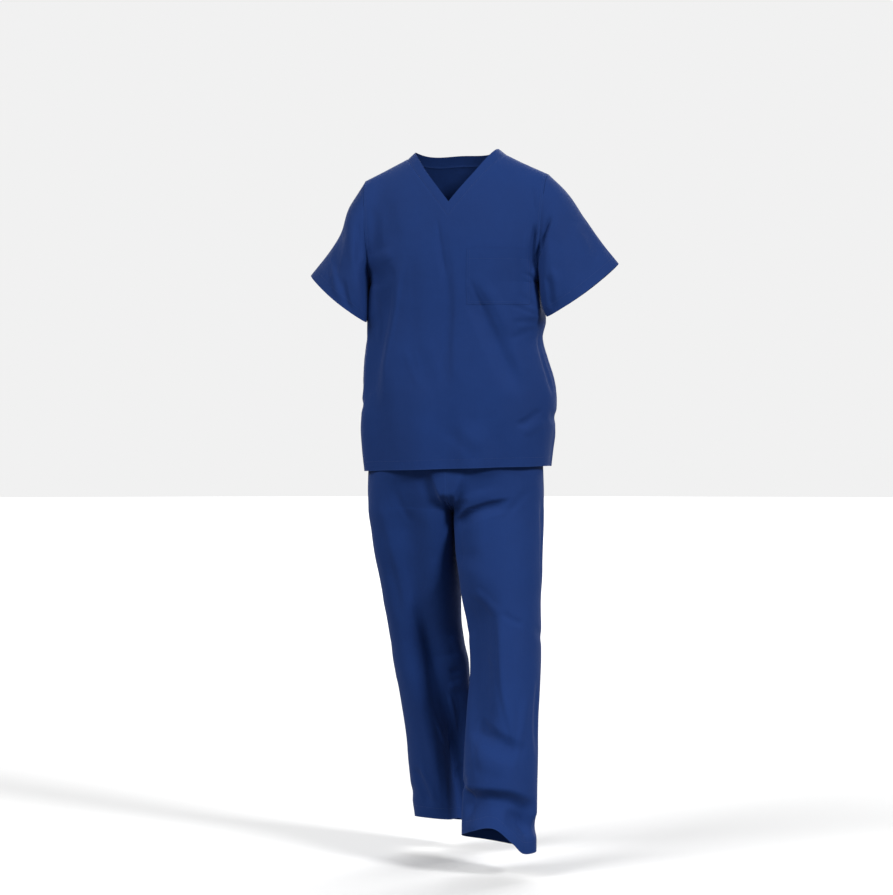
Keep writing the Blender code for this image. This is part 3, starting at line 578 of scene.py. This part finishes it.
rightLegFolds = {"front": [
    # crest from the hip down the front to the ankle, and the hollow on its inner side
    ((-138, 860, -122, 930, -107, 1000, -96, 1070, -83, 1140, -68, 1220, -57, 1300, -48, 1380, -40, 1560), 20, -3.6,
      0.3, -0.3), ((-116, 700, -106, 800, -99, 880, -89, 980, -76, 1080, -58, 1160, -36, 1240), 72, 24, 0),
    ((-62, 980, -50, 1080, -34, 1180, -12, 1280, 14, 1370, 36, 1460, 42, 1640), 70, 29, 0),
    ((30, 1250, 44, 1320, 56, 1390), 20, -11, 0.3),
    # beside the front seam
    ((-60, 680, -50, 730, -34, 780), 26, 3, 0.2), ((-130, 740, -108, 800, -70, 850), 16, 1.4, 0.2),
    ((-172, 800, -158, 880, -140, 960, -128, 1060), 18, 3.6, 0.2),
    # bright creases in the hollow
    ((-60, 1245, -38, 1306, -17, 1353, 13, 1415), 6, -3.4, 0.8), ((-8, 1212, 8, 1275, 22, 1325), 6, -3.4, 0.8),
    ((-6, 1085, 10, 1120, 18, 1140), 10, -4, 0.4), ((-6, 1172, 10, 1168, 22, 1156), 11, 3.4, 0.3),
    ((-8, 1206, 8, 1204, 22, 1190), 13, -3.2, 0.3),
    # break above the hem
    ((-106, 1385, -88, 1430, -66, 1485), 14, 4.4, 0.4, 0.2), ((-90, 1380, -70, 1420, -50, 1470), 10, -2.4, 0.4),
], "back": [
    ((-110, 840, -70, 812, -20, 792), 20, 6, 0.5, 0.2), ((-150, 870, -100, 850, -50, 835), 20, -3.4, 0.3),
    ((-60, 880, -66, 980, -60, 1090), 26, 6, 0.2), ((-130, 900, -126, 1000, -118, 1090), 20, 4.2, 0.3),
    ((-96, 900, -98, 1000, -90, 1080), 14, -3, 0.4), ((-130, 1145, -80, 1128, -20, 1112), 16, 6.2, 0.5),
    ((-130, 1172, -80, 1158, -20, 1150), 12, -4, 0.5), ((-120, 1195, -70, 1190, -10, 1182), 14, 5.5, 0.5),
    ((-100, 1240, -60, 1222, 0, 1216), 12, -3, 0.5), ((-70, 1250, -50, 1330, -30, 1420), 20, 4.5, 0.3),
    ((-80, 1420, -40, 1440, 10, 1452), 18, 5.5, 0.5), ((-85, 1460, -40, 1478, 10, 1486), 14, -3, 0.4),
], "left": [
    ((60, 1110, 0, 1130, -40, 1150), 14, 1.2, 0.3), ((100, 1380, 60, 1400, 20, 1430), 14, 4, 0.4),
    ((20, 1240, 26, 1320, 34, 1420, 36, 1640), 60, 20, 0),
], "right": [
    ((-10, 760, 0, 880, 20, 1020), 22, 4.5, 0.2), ((30, 1090, 60, 1120, 100, 1130), 20, 2.2, 0.2),
    ((40, 1180, 70, 1260, 80, 1360), 18, 4, 0.3), ((50, 1440, 100, 1455, 150, 1450), 22, 2.6, 0.2),
]}

leftLegFolds = {"front": [
    # drag out of the crotch
    ((-10, 842, 20, 822, 50, 806, 90, 792, 148, 780), 18, 9.5, 0.6, -0.5), ((4, 812, 22, 796, 48, 780), 12, 3.4, 0.3),
    ((14, 802, 56, 780, 116, 764), 20, -3, 0.3), ((118, 830, 150, 790, 184, 748), 12, 1.8, 0.3),
    ((20, 790, 24, 850, 32, 940), 62, 11, 0.1),
    # knee, and the crest below it with a hollow on its inner side
    ((50, 975, 84, 1000, 120, 1034), 18, -3, 0.3),
    ((112, 1000, 122, 1084, 130, 1169, 146, 1240, 172, 1330), 16, -4.5, 0.5, 0.3),
    ((78, 940, 73, 1020, 70, 1100, 73, 1180, 80, 1260, 92, 1340), 62, 23, 0.2),
    ((125, 1022, 149, 1040, 176, 1052), 12, 2.4, 0.3), ((79, 1118, 98, 1127, 119, 1146), 8, -1.4, 0.4),
    ((46, 1254, 92, 1278, 132, 1302, 184, 1332), 30, 10, 0.6, -0.2), ((60, 1320, 100, 1340, 156, 1356), 30, -2.6, 0.2),
    ((186, 1180, 174, 1280, 156, 1375), 12, -2.6, 0.4), ((60, 1262, 72, 1320, 88, 1376), 12, 1.2, 0.2),
    ((46, 1313, 56, 1384, 64, 1430), 12, -1.2, 0.2),
    # break above the hem
    ((-30, 1423, 76, 1421, 126, 1420, 176, 1433, 270, 1505), 44, 22.5, 0.6, -0.45),
    ((-60, 1600, 110, 1590, 170, 1595, 300, 1620), 260, 8, 0),
], "back": [
    ((110, 840, 70, 812, 20, 792), 20, 6, 0.5, -0.2), ((150, 870, 100, 852, 50, 838), 20, -3.4, 0.3),
    ((70, 890, 80, 980, 90, 1080), 26, 5.8, 0.2), ((130, 880, 138, 980, 140, 1080), 18, 4, 0.3),
    ((60, 1130, 110, 1112, 170, 1104), 16, 6, 0.5), ((60, 1160, 115, 1145, 175, 1136), 12, -3.8, 0.5),
    ((70, 1186, 120, 1180, 170, 1168), 14, 5, 0.5), ((130, 1220, 126, 1300, 118, 1380), 20, 4.5, 0.3),
    ((70, 1420, 120, 1436, 180, 1420), 18, 5, 0.5), ((70, 1460, 120, 1476, 180, 1462), 14, -3, 0.4),
], "left": [
    ((-20, 760, -30, 880, -50, 1000), 22, 4.5, 0.2), ((-120, 1060, -70, 1080, -20, 1100), 20, 2, 0.2),
    ((-110, 1160, -130, 1240, -150, 1340), 18, 4, 0.3), ((-300, 1440, -230, 1462, -180, 1482, -120, 1480), 26, 9, 0.5),
], "right": [
    ((-120, 1060, -80, 1080, -20, 1110), 16, 1.4, 0.2), ((-200, 1380, -160, 1400, -120, 1420), 14, 4, 0.4),
]}

# the sides that folds are drawn on: the axis that runs across, and the way that each faces
facings = {"front": (0, (0, -1, 0)), "back": (0, (0, 1, 0)), "left": (1, (1, 0, 0)), "right": (1, (-1, 0, 0))}
# share of a path that each end fades over, power of the softest section, and how squarely the cloth has to face
# the side that a fold is drawn on: from where it shows, and how much more until it is at full depth
press = {"fade": 0.28, "soft": 2.2, "shows": 0.12, "full": 0.42}


def smoothPath(points, steps=6):
    # rounds the corners of a fold's path
    pts = [Vector(p) for p in points]
    pts = [pts[0] * 2 - pts[1]] + pts + [pts[-1] * 2 - pts[-2]]
    path = []
    for a, b, c, d in zip(pts, pts[1:], pts[2:], pts[3:]):
        for step in range(steps):
            t = step / steps
            path.append((b * 2 + (c - a) * t + (a * 2 - b * 5 + c * 4 - d) * t * t
                         + (b * 3 - a - c * 3 + d) * t ** 3) / 2)
    return np.array([tuple(p) for p in path] + [tuple(pts[-2])])


def pressFold(across, height, path, reach, depth, crisp, lean=0):
    # a trough, or a ridge where depth is below 0; lean widens one side: above 0 the side on the left of someone
    # who walks along the path, seen from outside
    path = smoothPath([(x / 1000, -down / 1000) for x, down in zip(path[::2], path[1::2])])
    reach, depth = reach / 1000, depth / 1000
    wide = reach * (1 + abs(lean))
    near = ((across > path[:, 0].min() - wide) & (across < path[:, 0].max() + wide)
            & (height > path[:, 1].min() - wide) & (height < path[:, 1].max() + wide))
    pressed = np.zeros(len(across))
    if not near.any():
        return pressed
    start, run = path[:-1], np.diff(path, axis=0)
    lengths, before = np.hypot(run[:, 0], run[:, 1]), lengthsAlong(path)
    off = np.stack([across[near], height[near]], 1)[:, None] - start
    share = np.clip((off * run).sum(2) / (lengths ** 2), 0, 1)
    miss = off - run * share[..., None]
    apart = np.hypot(miss[..., 0], miss[..., 1])
    best = apart.argmin(1)
    pick = np.arange(len(best))
    side = np.sign(run[best, 0] * off[pick, best, 1] - run[best, 1] * off[pick, best, 0])
    along = (before[best] + share[pick, best] * lengths[best]) / before[-1]
    ratio = np.minimum(apart[pick, best] / (reach * (1 + lean * side)), 1)
    ends = eased(along / press["fade"]) * eased((1 - along) / press["fade"])
    pressed[near] = depth * (1 - ratio ** 2) ** (press["soft"] - crisp) * ends
    return pressed


def pressFolds(folds, place, outward, flip=1):
    pressed = np.zeros(len(place))
    for facing, strokes in folds.items():
        axis, way = facings[facing]
        seen = eased((outward @ np.array(way) - press["shows"]) / press["full"])
        across = place[:, axis] * (flip if axis == 0 else 1)
        picked = np.flatnonzero(seen > 0)
        for stroke in strokes:
            pressed[picked] += seen[picked] * pressFold(across[picked], place[picked, 2], *stroke)
    return pressed


# ---- cloth: panels joined in one skin for each garment, pressed into folds, then cut into its pieces

# small relief everywhere: size and height of the waves, what is left of them at a seam and how far from it they are
# whole; groove and puckers at the seams
surface = {
    "waves": [(0.060, 0.0008), (0.024, 0.00028)], "wavesAtSeam": 0.35, "wavesWhole": 0.02,
    "groove": 0.0004, "grooveWidth": 0.0016, "pucker": 0.0003, "puckerReach": 0.01, "puckerLength": 0.0055,
}
# walls of cloth, and the angle in degrees from which an edge is sharp
wall = {"plain": 0.0007, "hem": 0.0016, "pocket": 0.0008, "sharp": 62}
hemWidths = {"top": 0.02, "trousers": 0.025}
# distance from a hem where there is none
faraway = 1.0


def readVectors(items, name):
    values = np.empty(len(items) * 3, dtype=np.float32)
    items.foreach_get(name, values)
    return values.reshape(-1, 3).astype(float)


def readNumbers(mesh, name):
    values = np.empty(len(mesh.vertices), dtype=np.float32)
    mesh.attributes[name].data.foreach_get("value", values)
    return values.astype(float)


def newGarment(pieces, hemWidth):
    return {"pieces": pieces, "skin": bmesh.new(), "panels": [], "hemWidth": hemWidth}


def layPanel(garment, piece, zone, columns, rows, place, sewn, hem=None, middle=False):
    # sewn names the borders with a seam, hem the border with a free folded edge
    grid = bmesh.new()
    bmesh.ops.create_grid(grid, x_segments=columns, y_segments=rows, size=0.5)
    mesh = meshOf(grid, "panel")
    corner = readVectors(mesh.vertices, "co")
    j = np.rint((corner[:, 0] + 0.5) * columns).astype(int)
    i = np.rint((corner[:, 1] + 0.5) * rows).astype(int)
    points = place(j / columns, i / rows)
    mesh.vertices.foreach_set("co", points.astype(np.float32).ravel())
    net = np.empty((rows + 1, columns + 1, 3))
    net[i, j] = points
    across, up = lengthsAlong(net, 1), lengthsAlong(net)
    away = {"left": across, "right": across[:, -1:] - across, "bottom": up, "top": up[-1:] - up}
    fromMiddle = across - across[:, columns // 2][:, None]
    fromSeam = np.min([away[border] for border in sewn] + ([np.abs(fromMiddle)] if middle else []), axis=0)
    fromHem = away[hem] if hem else np.full(across.shape, faraway)
    weave = mesh.uv_layers.new(name="weave")
    loops = np.empty(len(mesh.loops), dtype=np.int32)
    mesh.loops.foreach_get("vertex_index", loops)
    flat = np.stack([fromMiddle, up + net[:1, :, 2]], 2)[i, j]
    weave.data.foreach_set("uv", flat[loops].astype(np.float32).ravel())
    for name, values in (("zone", np.full(len(points), float(zone))), ("fromSeam", fromSeam[i, j]),
                         ("fromHem", fromHem[i, j]), ("along", j / columns)):
        mesh.attributes.new(name, "FLOAT", "POINT").data.foreach_set("value", values.astype(np.float32))
    marks = np.full(len(mesh.polygons), garment["pieces"].index(piece), dtype=np.int32)
    mesh.polygons.foreach_set("material_index", marks)
    garment["skin"].from_mesh(mesh)
    bpy.data.meshes.remove(mesh)
    garment["panels"].append({"piece": piece, "net": net, "away": away})


def joinSkin(garment):
    skin = garment["skin"]
    bmesh.ops.remove_doubles(skin, verts=skin.verts, dist=0.00001)
    mesh = meshOf(skin, "skin")
    mesh.polygons.foreach_set("use_smooth", np.ones(len(mesh.polygons), dtype=bool))
    mesh.update()
    garment["mesh"] = mesh
    garment["place"] = readVectors(mesh.vertices, "co")
    garment["outward"] = readVectors(mesh.vertex_normals, "vector")


def shapeSkin(garment, pressed):
    mesh, place, outward = garment["mesh"], garment["place"], garment["outward"]
    fromSeam, fromHem = readNumbers(mesh, "fromSeam"), readNumbers(mesh, "fromHem")
    cfg = surface
    for seed, (size, height) in enumerate(cfg["waves"]):
        whole = mix(cfg["wavesAtSeam"], 1, eased(fromSeam / cfg["wavesWhole"]))
        pressed = pressed + height * unevenness(place, seed + 1, size) * whole
    edge = np.minimum(fromSeam, np.where(fromHem < faraway / 2, np.abs(fromHem - garment["hemWidth"]), faraway))
    near = 1 - eased(edge / cfg["puckerReach"])
    pressed = pressed + cfg["pucker"] * near * unevenness(place, 5, cfg["puckerLength"])
    pressed = pressed + cfg["groove"] * np.maximum(0, 1 - (fromSeam / cfg["grooveWidth"]) ** 2)
    final = place - outward * pressed[:, None]
    mesh.vertices.foreach_set("co", final.astype(np.float32).ravel())
    mesh.update()
    garment["final"] = final
    garment["facing"] = readVectors(mesh.vertex_normals, "vector")
    # every panel's own net of points, found again on the finished skin
    tree = KDTree(len(place))
    for index, point in enumerate(place):
        tree.insert(point, index)
    tree.balance()
    for panel in garment["panels"]:
        net = panel["net"].reshape(-1, 3)
        panel["index"] = np.array([tree.find(point)[1] for point in net]).reshape(panel["net"].shape[:2])


def cutPiece(garment, piece, plainWall, hemWall, source=None, keep=None, lift=None):
    # cuts a piece out of the skin, lays it out by its lift, and gives it a wall, thicker in its folded hem
    mark = garment["pieces"].index(source or piece)
    cloth = bmesh.new()
    cloth.from_mesh(garment["mesh"])
    outward = cloth.verts.layers.float_vector.new("outward")
    thick = cloth.verts.layers.float.new("thick")
    drop = [face for face in cloth.faces
            if face.material_index != mark or (keep and not keep(face.calc_center_median()))]
    bmesh.ops.delete(cloth, geom=drop, context="FACES")
    cloth.normal_update()
    hem = cloth.verts.layers.float["fromHem"]
    for vert in cloth.verts:
        vert[outward] = vert.normal
        vert[thick] = hemWall if vert[hem] < garment["hemWidth"] else plainWall
        if lift:
            vert.co += vert[outward] * lift(vert.co)
    shell = bmesh.ops.extrude_face_region(cloth, geom=cloth.faces[:])
    inner = [item for item in shell["geom"] if isinstance(item, bmesh.types.BMVert)]
    # the copied faces become the inner wall, so they carry the move inwards
    for vert in inner:
        vert.co -= vert[outward] * vert[thick]
    bmesh.ops.recalc_face_normals(cloth, faces=cloth.faces)
    for face in cloth.faces:
        face.material_index = 0
        face.smooth = True
    mesh = meshOf(cloth, piece + "Cloth")
    mesh.set_sharp_from_angle(angle=math.radians(wall["sharp"]))
    return addObject(piece + "_cloth", mesh)


def makeTop():
    top = newGarment(["top_front", "top_back", "right_sleeve", "left_sleeve", "neckband"], hemWidths["top"])
    for side, piece in ((-1, "top_front"), (1, "top_back")):
        layPanel(top, piece, 0, *bodyPlace(side), sewn=("left", "right", "top"), hem="bottom")
        layPanel(top, "neckband", 0, *bandPlace(side), sewn=("bottom", "left", "right"), middle=side < 0)
    for hand, name, cuff in ((-1, "right", "left"), (1, "left", "right")):
        layPanel(top, name + "_sleeve", hand, *sleevePlace(sleeveShape[name], hand),
                 sewn=(name, "top", "bottom"), hem=cuff)
    joinSkin(top)
    place, outward, mesh = top["place"], top["outward"], top["mesh"]
    zone, along = readNumbers(mesh, "zone"), readNumbers(mesh, "along")
    part = np.where(zone > 0, along, np.where(zone < 0, 1 - along, 0))
    # folds of the body fade out over the first part of a sleeve, and the sleeve's own fade in
    pressed = pressFolds(topFolds, place, outward) * np.where(zone == 0, 1, 1 - eased(part / topCalm["sleeve"]))
    for folds, hand in ((rightSleeveFolds, -1), (leftSleeveFolds, 1)):
        own = zone == hand
        fade = eased(part[own] / topCalm["sleeveFolds"])
        pressed[own] += pressFolds(folds, place[own], outward[own], flip=hand) * fade
    mark = top["pieces"].index("neckband")
    band = [corner for face in mesh.polygons if face.material_index == mark for corner in face.vertices]
    pressed[band] *= topCalm["band"]
    shapeSkin(top, pressed)
    return top


def makeTrousers():
    panels = ["trousers_right_front", "trousers_right_back", "trousers_left_front", "trousers_left_back"]
    trousers = newGarment(panels + ["waistband"], hemWidths["trousers"])
    cfg = trouserShape
    for name, hand in (("right", -1), ("left", 1)):
        for side, part in ((-1, "front"), (1, "back")):
            layPanel(trousers, f"trousers_{name}_{part}", hand,
                     *legPlace(cfg[name + "Leg"], cfg[name + "Hem"], hand, side),
                     sewn=("left", "right", "top"), hem="bottom")
    for quarter in range(4):
        layPanel(trousers, "waistband", 0, *waistPlace((quarter - 1) * math.pi / 2, math.pi / 2), sewn=("bottom",))
    joinSkin(trousers)
    place, outward = trousers["place"], trousers["outward"]
    zone = readNumbers(trousers["mesh"], "zone")
    x, z = place[:, 0], place[:, 2]
    over, above = cfg["overSeam"]
    overSeam = (1 - eased(np.abs(x) / over)) * eased((z - cfg["crotch"]) / above)
    calm = eased((cfg["waistSeam"] - z) / cfg["calmWaist"]) * eased(np.hypot(x, z - cfg["crotch"]) / cfg["calmCrotch"])
    pressed = np.zeros(len(place))
    for folds, hand in ((rightLegFolds, -1), (leftLegFolds, 1)):
        own = np.where(zone == hand, 1.0, overSeam)
        picked = own > 0
        pressed[picked] += own[picked] * pressFolds(folds, place[picked], outward[picked])
    shapeSkin(trousers, pressed * calm)
    return trousers


top = makeTop()
print("top:", len(top["place"]), "points")
trousers = makeTrousers()
print("trousers:", len(trousers["place"]), "points")


# ---- finish of the cloth

navy = {
    "deep": (0.0042, 0.0235, 0.116), "light": (0.0072, 0.0325, 0.150), "worn": (0.016, 0.048, 0.175),
    "thread": (0.0085, 0.038, 0.165), "threads": 2400.0, "slubs": (260.0, 26.0, 1.0),
    "weaveHeight": 0.00006, "slubHeight": 0.00005, "crumpleHeight": 0.0009, "roughness": 0.82, "sheen": 0.06,
}


def paintCloth(name, cfg):
    paint = Paint(name)
    place = paint.add("ShaderNodeTexCoord", out=3)
    weave = paint.add("ShaderNodeUVMap", {"uv_map": "weave"})
    split = paint.add("ShaderNodeSeparateXYZ", None, weave)
    # plain weave: warp and weft threads over and under each other
    warp, weft = (split * cfg["threads"]).sine(), (Num(paint, split.socket.node.outputs[1]) * cfg["threads"]).sine()
    cross = warp * weft
    cloudy = paint.add("ShaderNodeTexNoise", None, Vector=place, Scale=7.0, Detail=4.0, Roughness=0.55)
    drawnOut = paint.add("ShaderNodeVectorMath", {"operation": "MULTIPLY"}, weave, cfg["slubs"])
    slub = paint.add("ShaderNodeTexNoise", None, Vector=drawnOut, Scale=1.0, Detail=2.0)
    fine = paint.add("ShaderNodeTexNoise", None, Vector=place, Scale=38.0, Detail=5.0, Roughness=0.6)
    fromSeam = paint.add("ShaderNodeAttribute", {"attribute_name": "fromSeam"}, out=2)
    fromHem = paint.add("ShaderNodeAttribute", {"attribute_name": "fromHem"}, out=2)
    # paler where seams and hems are rubbed
    rub = (1 - (fromSeam - 0.0022).size() / 0.0018).clipped() * 0.5 + (1 - fromHem / 0.0025).clipped()
    tone = (cloudy * 0.9 + slub * 0.25 + cross * 0.06 - 0.08).clipped()
    color = paint.blend(tone, cfg["deep"], cfg["light"])
    color = paint.blend((rub * fine * 0.7).clipped(), color, cfg["worn"])
    height = fine * cfg["crumpleHeight"] + cross * cfg["weaveHeight"] + slub * cfg["slubHeight"]
    bump = paint.add("ShaderNodeBump", None, Strength=1.0, Distance=1.0, Height=height)
    paint.set(Base_Color=color, Roughness=(cfg["roughness"] - 0.06 + cloudy * 0.12), Normal=bump,
              Sheen_Weight=cfg["sheen"], Sheen_Roughness=0.45, Sheen_Tint=(0.45, 0.60, 1.0, 1), Specular_IOR_Level=0.18)
    return paint.made


cloth = paintCloth("navyCloth", navy)


# ---- the pieces

# the patch lies on the front, puffs out within its sewn edges and gapes a little at its mouth
pocket = {"west": 0.044, "east": 0.178, "low": -0.352, "high": -0.229, "lift": 0.0005, "puff": 0.001, "gape": 0.0014,
          "sideRise": 6, "lowRise": 5, "mouthPower": 5}


def inPocket(middle):
    return pocket["west"] < middle.x < pocket["east"] and pocket["low"] < middle.z < pocket["high"]


def pocketLift(point):
    cfg = pocket
    s = min(max((point.x - cfg["west"]) / (cfg["east"] - cfg["west"]), 0), 1)
    t = min(max((point.z - cfg["low"]) / (cfg["high"] - cfg["low"]), 0), 1)
    bulge = min(1.0, cfg["sideRise"] * s * (1 - s)) * min(1.0, cfg["lowRise"] * t)
    return cfg["lift"] + cfg["puff"] * bulge + cfg["gape"] * 4 * s * (1 - s) * t ** cfg["mouthPower"]


def finishPiece(made, node):
    made.data.materials.clear()
    made.data.materials.append(cloth)
    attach(made, "root")
    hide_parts(node)
    drawn = sum(face.area for face in made.data.polygons) / 2
    print(node, len(made.data.polygons) * 2, "triangles, area", round(drawn, 4))


for garment in (top, trousers):
    for piece in garment["pieces"]:
        finishPiece(cutPiece(garment, piece, wall["plain"], wall["hem"]), piece)
chestPocket = cutPiece(top, "chest_pocket", wall["pocket"], wall["pocket"], "top_front", inPocket, pocketLift)
finishPiece(chestPocket, "chest_pocket")


# ---- stitching: one small stitch repeated, then set along each sewn line

thread = {"pitch": 0.0032, "length": 0.0025, "width": 0.0006, "height": 0.00044, "proud": 0.00004, "reach": 0.0008}
# distances of the sewn lines from the edges
topstitch = {"armhole": 0.006, "shoulder": 0.006, "band": 0.002, "waistband": 0.002,
             "pocket": (0.002, 0.0065), "pocketHem": 0.022, "pocketTop": 0.003}
# share of a border that a line leaves free at its end
free = 0.01


def sewnLine(garment, panel, border, distance, low=0.0, high=1.0, inside=0.0):
    # points and facings at a constant distance from one border, between two shares of its length
    away, index = panel["away"][border], panel["index"]
    if border in ("top", "bottom"):
        away, index = away.T, index.T
    if border in ("top", "right"):
        away, index = away[:, ::-1], index[:, ::-1]
    count = len(away) - 1
    lines = np.arange(math.ceil(low * count), math.floor(high * count) + 1)
    step = np.array([np.searchsorted(away[line], distance) for line in lines])
    share = ((distance - away[lines, step - 1]) / (away[lines, step] - away[lines, step - 1]))[:, None]
    ends = index[lines, step - 1], index[lines, step]
    facing = mix(garment["facing"][ends[0]], garment["facing"][ends[1]], share)
    points = mix(garment["final"][ends[0]], garment["final"][ends[1]], share) - facing * inside
    return points, facing * (-1 if inside else 1)


def sewnThrough(garment, panel, border, distance, depth, *ends):
    # the same line outside and inside
    return [sewnLine(garment, panel, border, distance, *ends, inside=inside) for inside in (0.0, depth)]


def readAt(at, before, values):
    return np.stack([np.interp(at, before, values[:, axis]) for axis in range(3)], 1)


def setStitches(name, lines):
    spots, ways, faces = [], [], []
    for points, facing in lines:
        before = lengthsAlong(points)
        at = np.arange(thread["pitch"] / 2, before[-1], thread["pitch"])
        spots.append(readAt(at, before, points))
        ways.append(readAt(at + thread["reach"], before, points) - readAt(at - thread["reach"], before, points))
        faces.append(readAt(at, before, facing))
    spots, ways, faces = np.concatenate(spots), np.concatenate(ways), np.concatenate(faces)
    ways /= np.linalg.norm(ways, axis=1)[:, None]
    across = np.cross(faces, ways)
    across /= np.linalg.norm(across, axis=1)[:, None]
    faces = np.cross(ways, across)

    one = bmesh.new()
    bmesh.ops.create_uvsphere(one, u_segments=6, v_segments=4, radius=0.5)
    corners = len(one.verts)
    row = addObject("stitchRow", meshOf(one, "stitch"))
    repeat = row.modifiers.new("repeat", "ARRAY")
    repeat.count, repeat.use_relative_offset, repeat.use_constant_offset = len(spots), False, True
    repeat.constant_offset_displace = (2, 0, 0)
    made = bpy.data.meshes.new_from_object(row.evaluated_get(bpy.context.evaluated_depsgraph_get()))
    bpy.data.objects.remove(row)
    local = readVectors(made.vertices, "co").reshape(len(spots), corners, 3)
    local[:, :, 0] -= 2 * np.arange(len(spots))[:, None]
    # the sphere's poles lie at the two ends of a stitch
    local = local[:, :, (2, 0, 1)] * (thread["length"], thread["width"], thread["height"])
    local = local @ np.stack([ways, across, faces], 1)
    placed = (spots + faces * thread["proud"])[:, None] + local
    made.vertices.foreach_set("co", placed.astype(np.float32).ravel())
    made.polygons.foreach_set("use_smooth", np.ones(len(made.polygons), dtype=bool))
    made.update()
    stitches = addObject(name, made)
    made.materials.append(spun.made)
    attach(stitches, "root")
    print(name, len(spots), "stitches")


spun = Paint("navyThread")
twist = spun.add("ShaderNodeTexNoise", None, Vector=spun.add("ShaderNodeTexCoord", out=3), Scale=2600.0, Detail=1.0)
spun.set(Base_Color=spun.blend(twist.clipped(), navy["light"], navy["thread"]), Roughness=0.5 + twist * 0.2,
         Sheen_Weight=0.1, Specular_IOR_Level=0.3)


def onPocket(cloth, path):
    # a path across and up the pocket, laid on its face
    tree = BVHTree.FromObject(cloth, bpy.context.evaluated_depsgraph_get())
    points, facing, steps = [], [], 25
    for start, end in zip(path, path[1:]):
        for step in range(steps):
            x, z = mix(start[0], end[0], step / steps), mix(start[1], end[1], step / steps)
            hit, normal = tree.ray_cast(Vector((x, -1, z)), Vector((0, 1, 0)))[:2]
            if hit:
                points.append(tuple(hit))
                facing.append(tuple(normal))
    return np.array(points), np.array(facing)


lines, cfg = [], topstitch
armholeStart = topCells["side"] / (topCells["side"] + topCells["armhole"])
shoulder = topCells["shoulder"] / (topCells["bandBack"] + 2 * topCells["shoulder"])
for panel in top["panels"]:
    piece = panel["piece"]
    if piece in ("top_front", "top_back"):
        lines += sewnThrough(top, panel, "bottom", hemWidths["top"], wall["hem"])
        for border in ("left", "right"):
            lines.append(sewnLine(top, panel, border, cfg["armhole"], armholeStart + free, 1 - 1.5 * free))
    if piece == "top_back":
        for low, high in ((2 * free, shoulder - free), (1 + free - shoulder, 1 - 2 * free)):
            lines.append(sewnLine(top, panel, "top", cfg["shoulder"], low, high))
    if piece == "neckband":
        lines += sewnThrough(top, panel, "bottom", cfg["band"], wall["plain"], free, 1 - free)
    if piece in ("right_sleeve", "left_sleeve"):
        border = "left" if piece == "right_sleeve" else "right"
        lines += sewnThrough(top, panel, border, hemWidths["top"], wall["hem"])
west, east, low, high = (pocket[name] for name in ("west", "east", "low", "high"))
start = high - cfg["pocketTop"]
for inset in cfg["pocket"]:
    lines.append(onPocket(chestPocket, ((west + inset, start), (west + inset, low + inset),
                                        (east - inset, low + inset), (east - inset, start))))
inset, folded = cfg["pocket"][0], high - cfg["pocketHem"]
lines.append(onPocket(chestPocket, ((west + inset, folded), (east - inset, folded))))
setStitches("top_stitching", lines)

lines = []
for panel in trousers["panels"]:
    if panel["piece"] == "waistband":
        lines.append(sewnLine(trousers, panel, "bottom", cfg["waistband"]))
    else:
        lines += sewnThrough(trousers, panel, "bottom", hemWidths["trousers"], wall["hem"])
setStitches("trousers_stitching", lines)
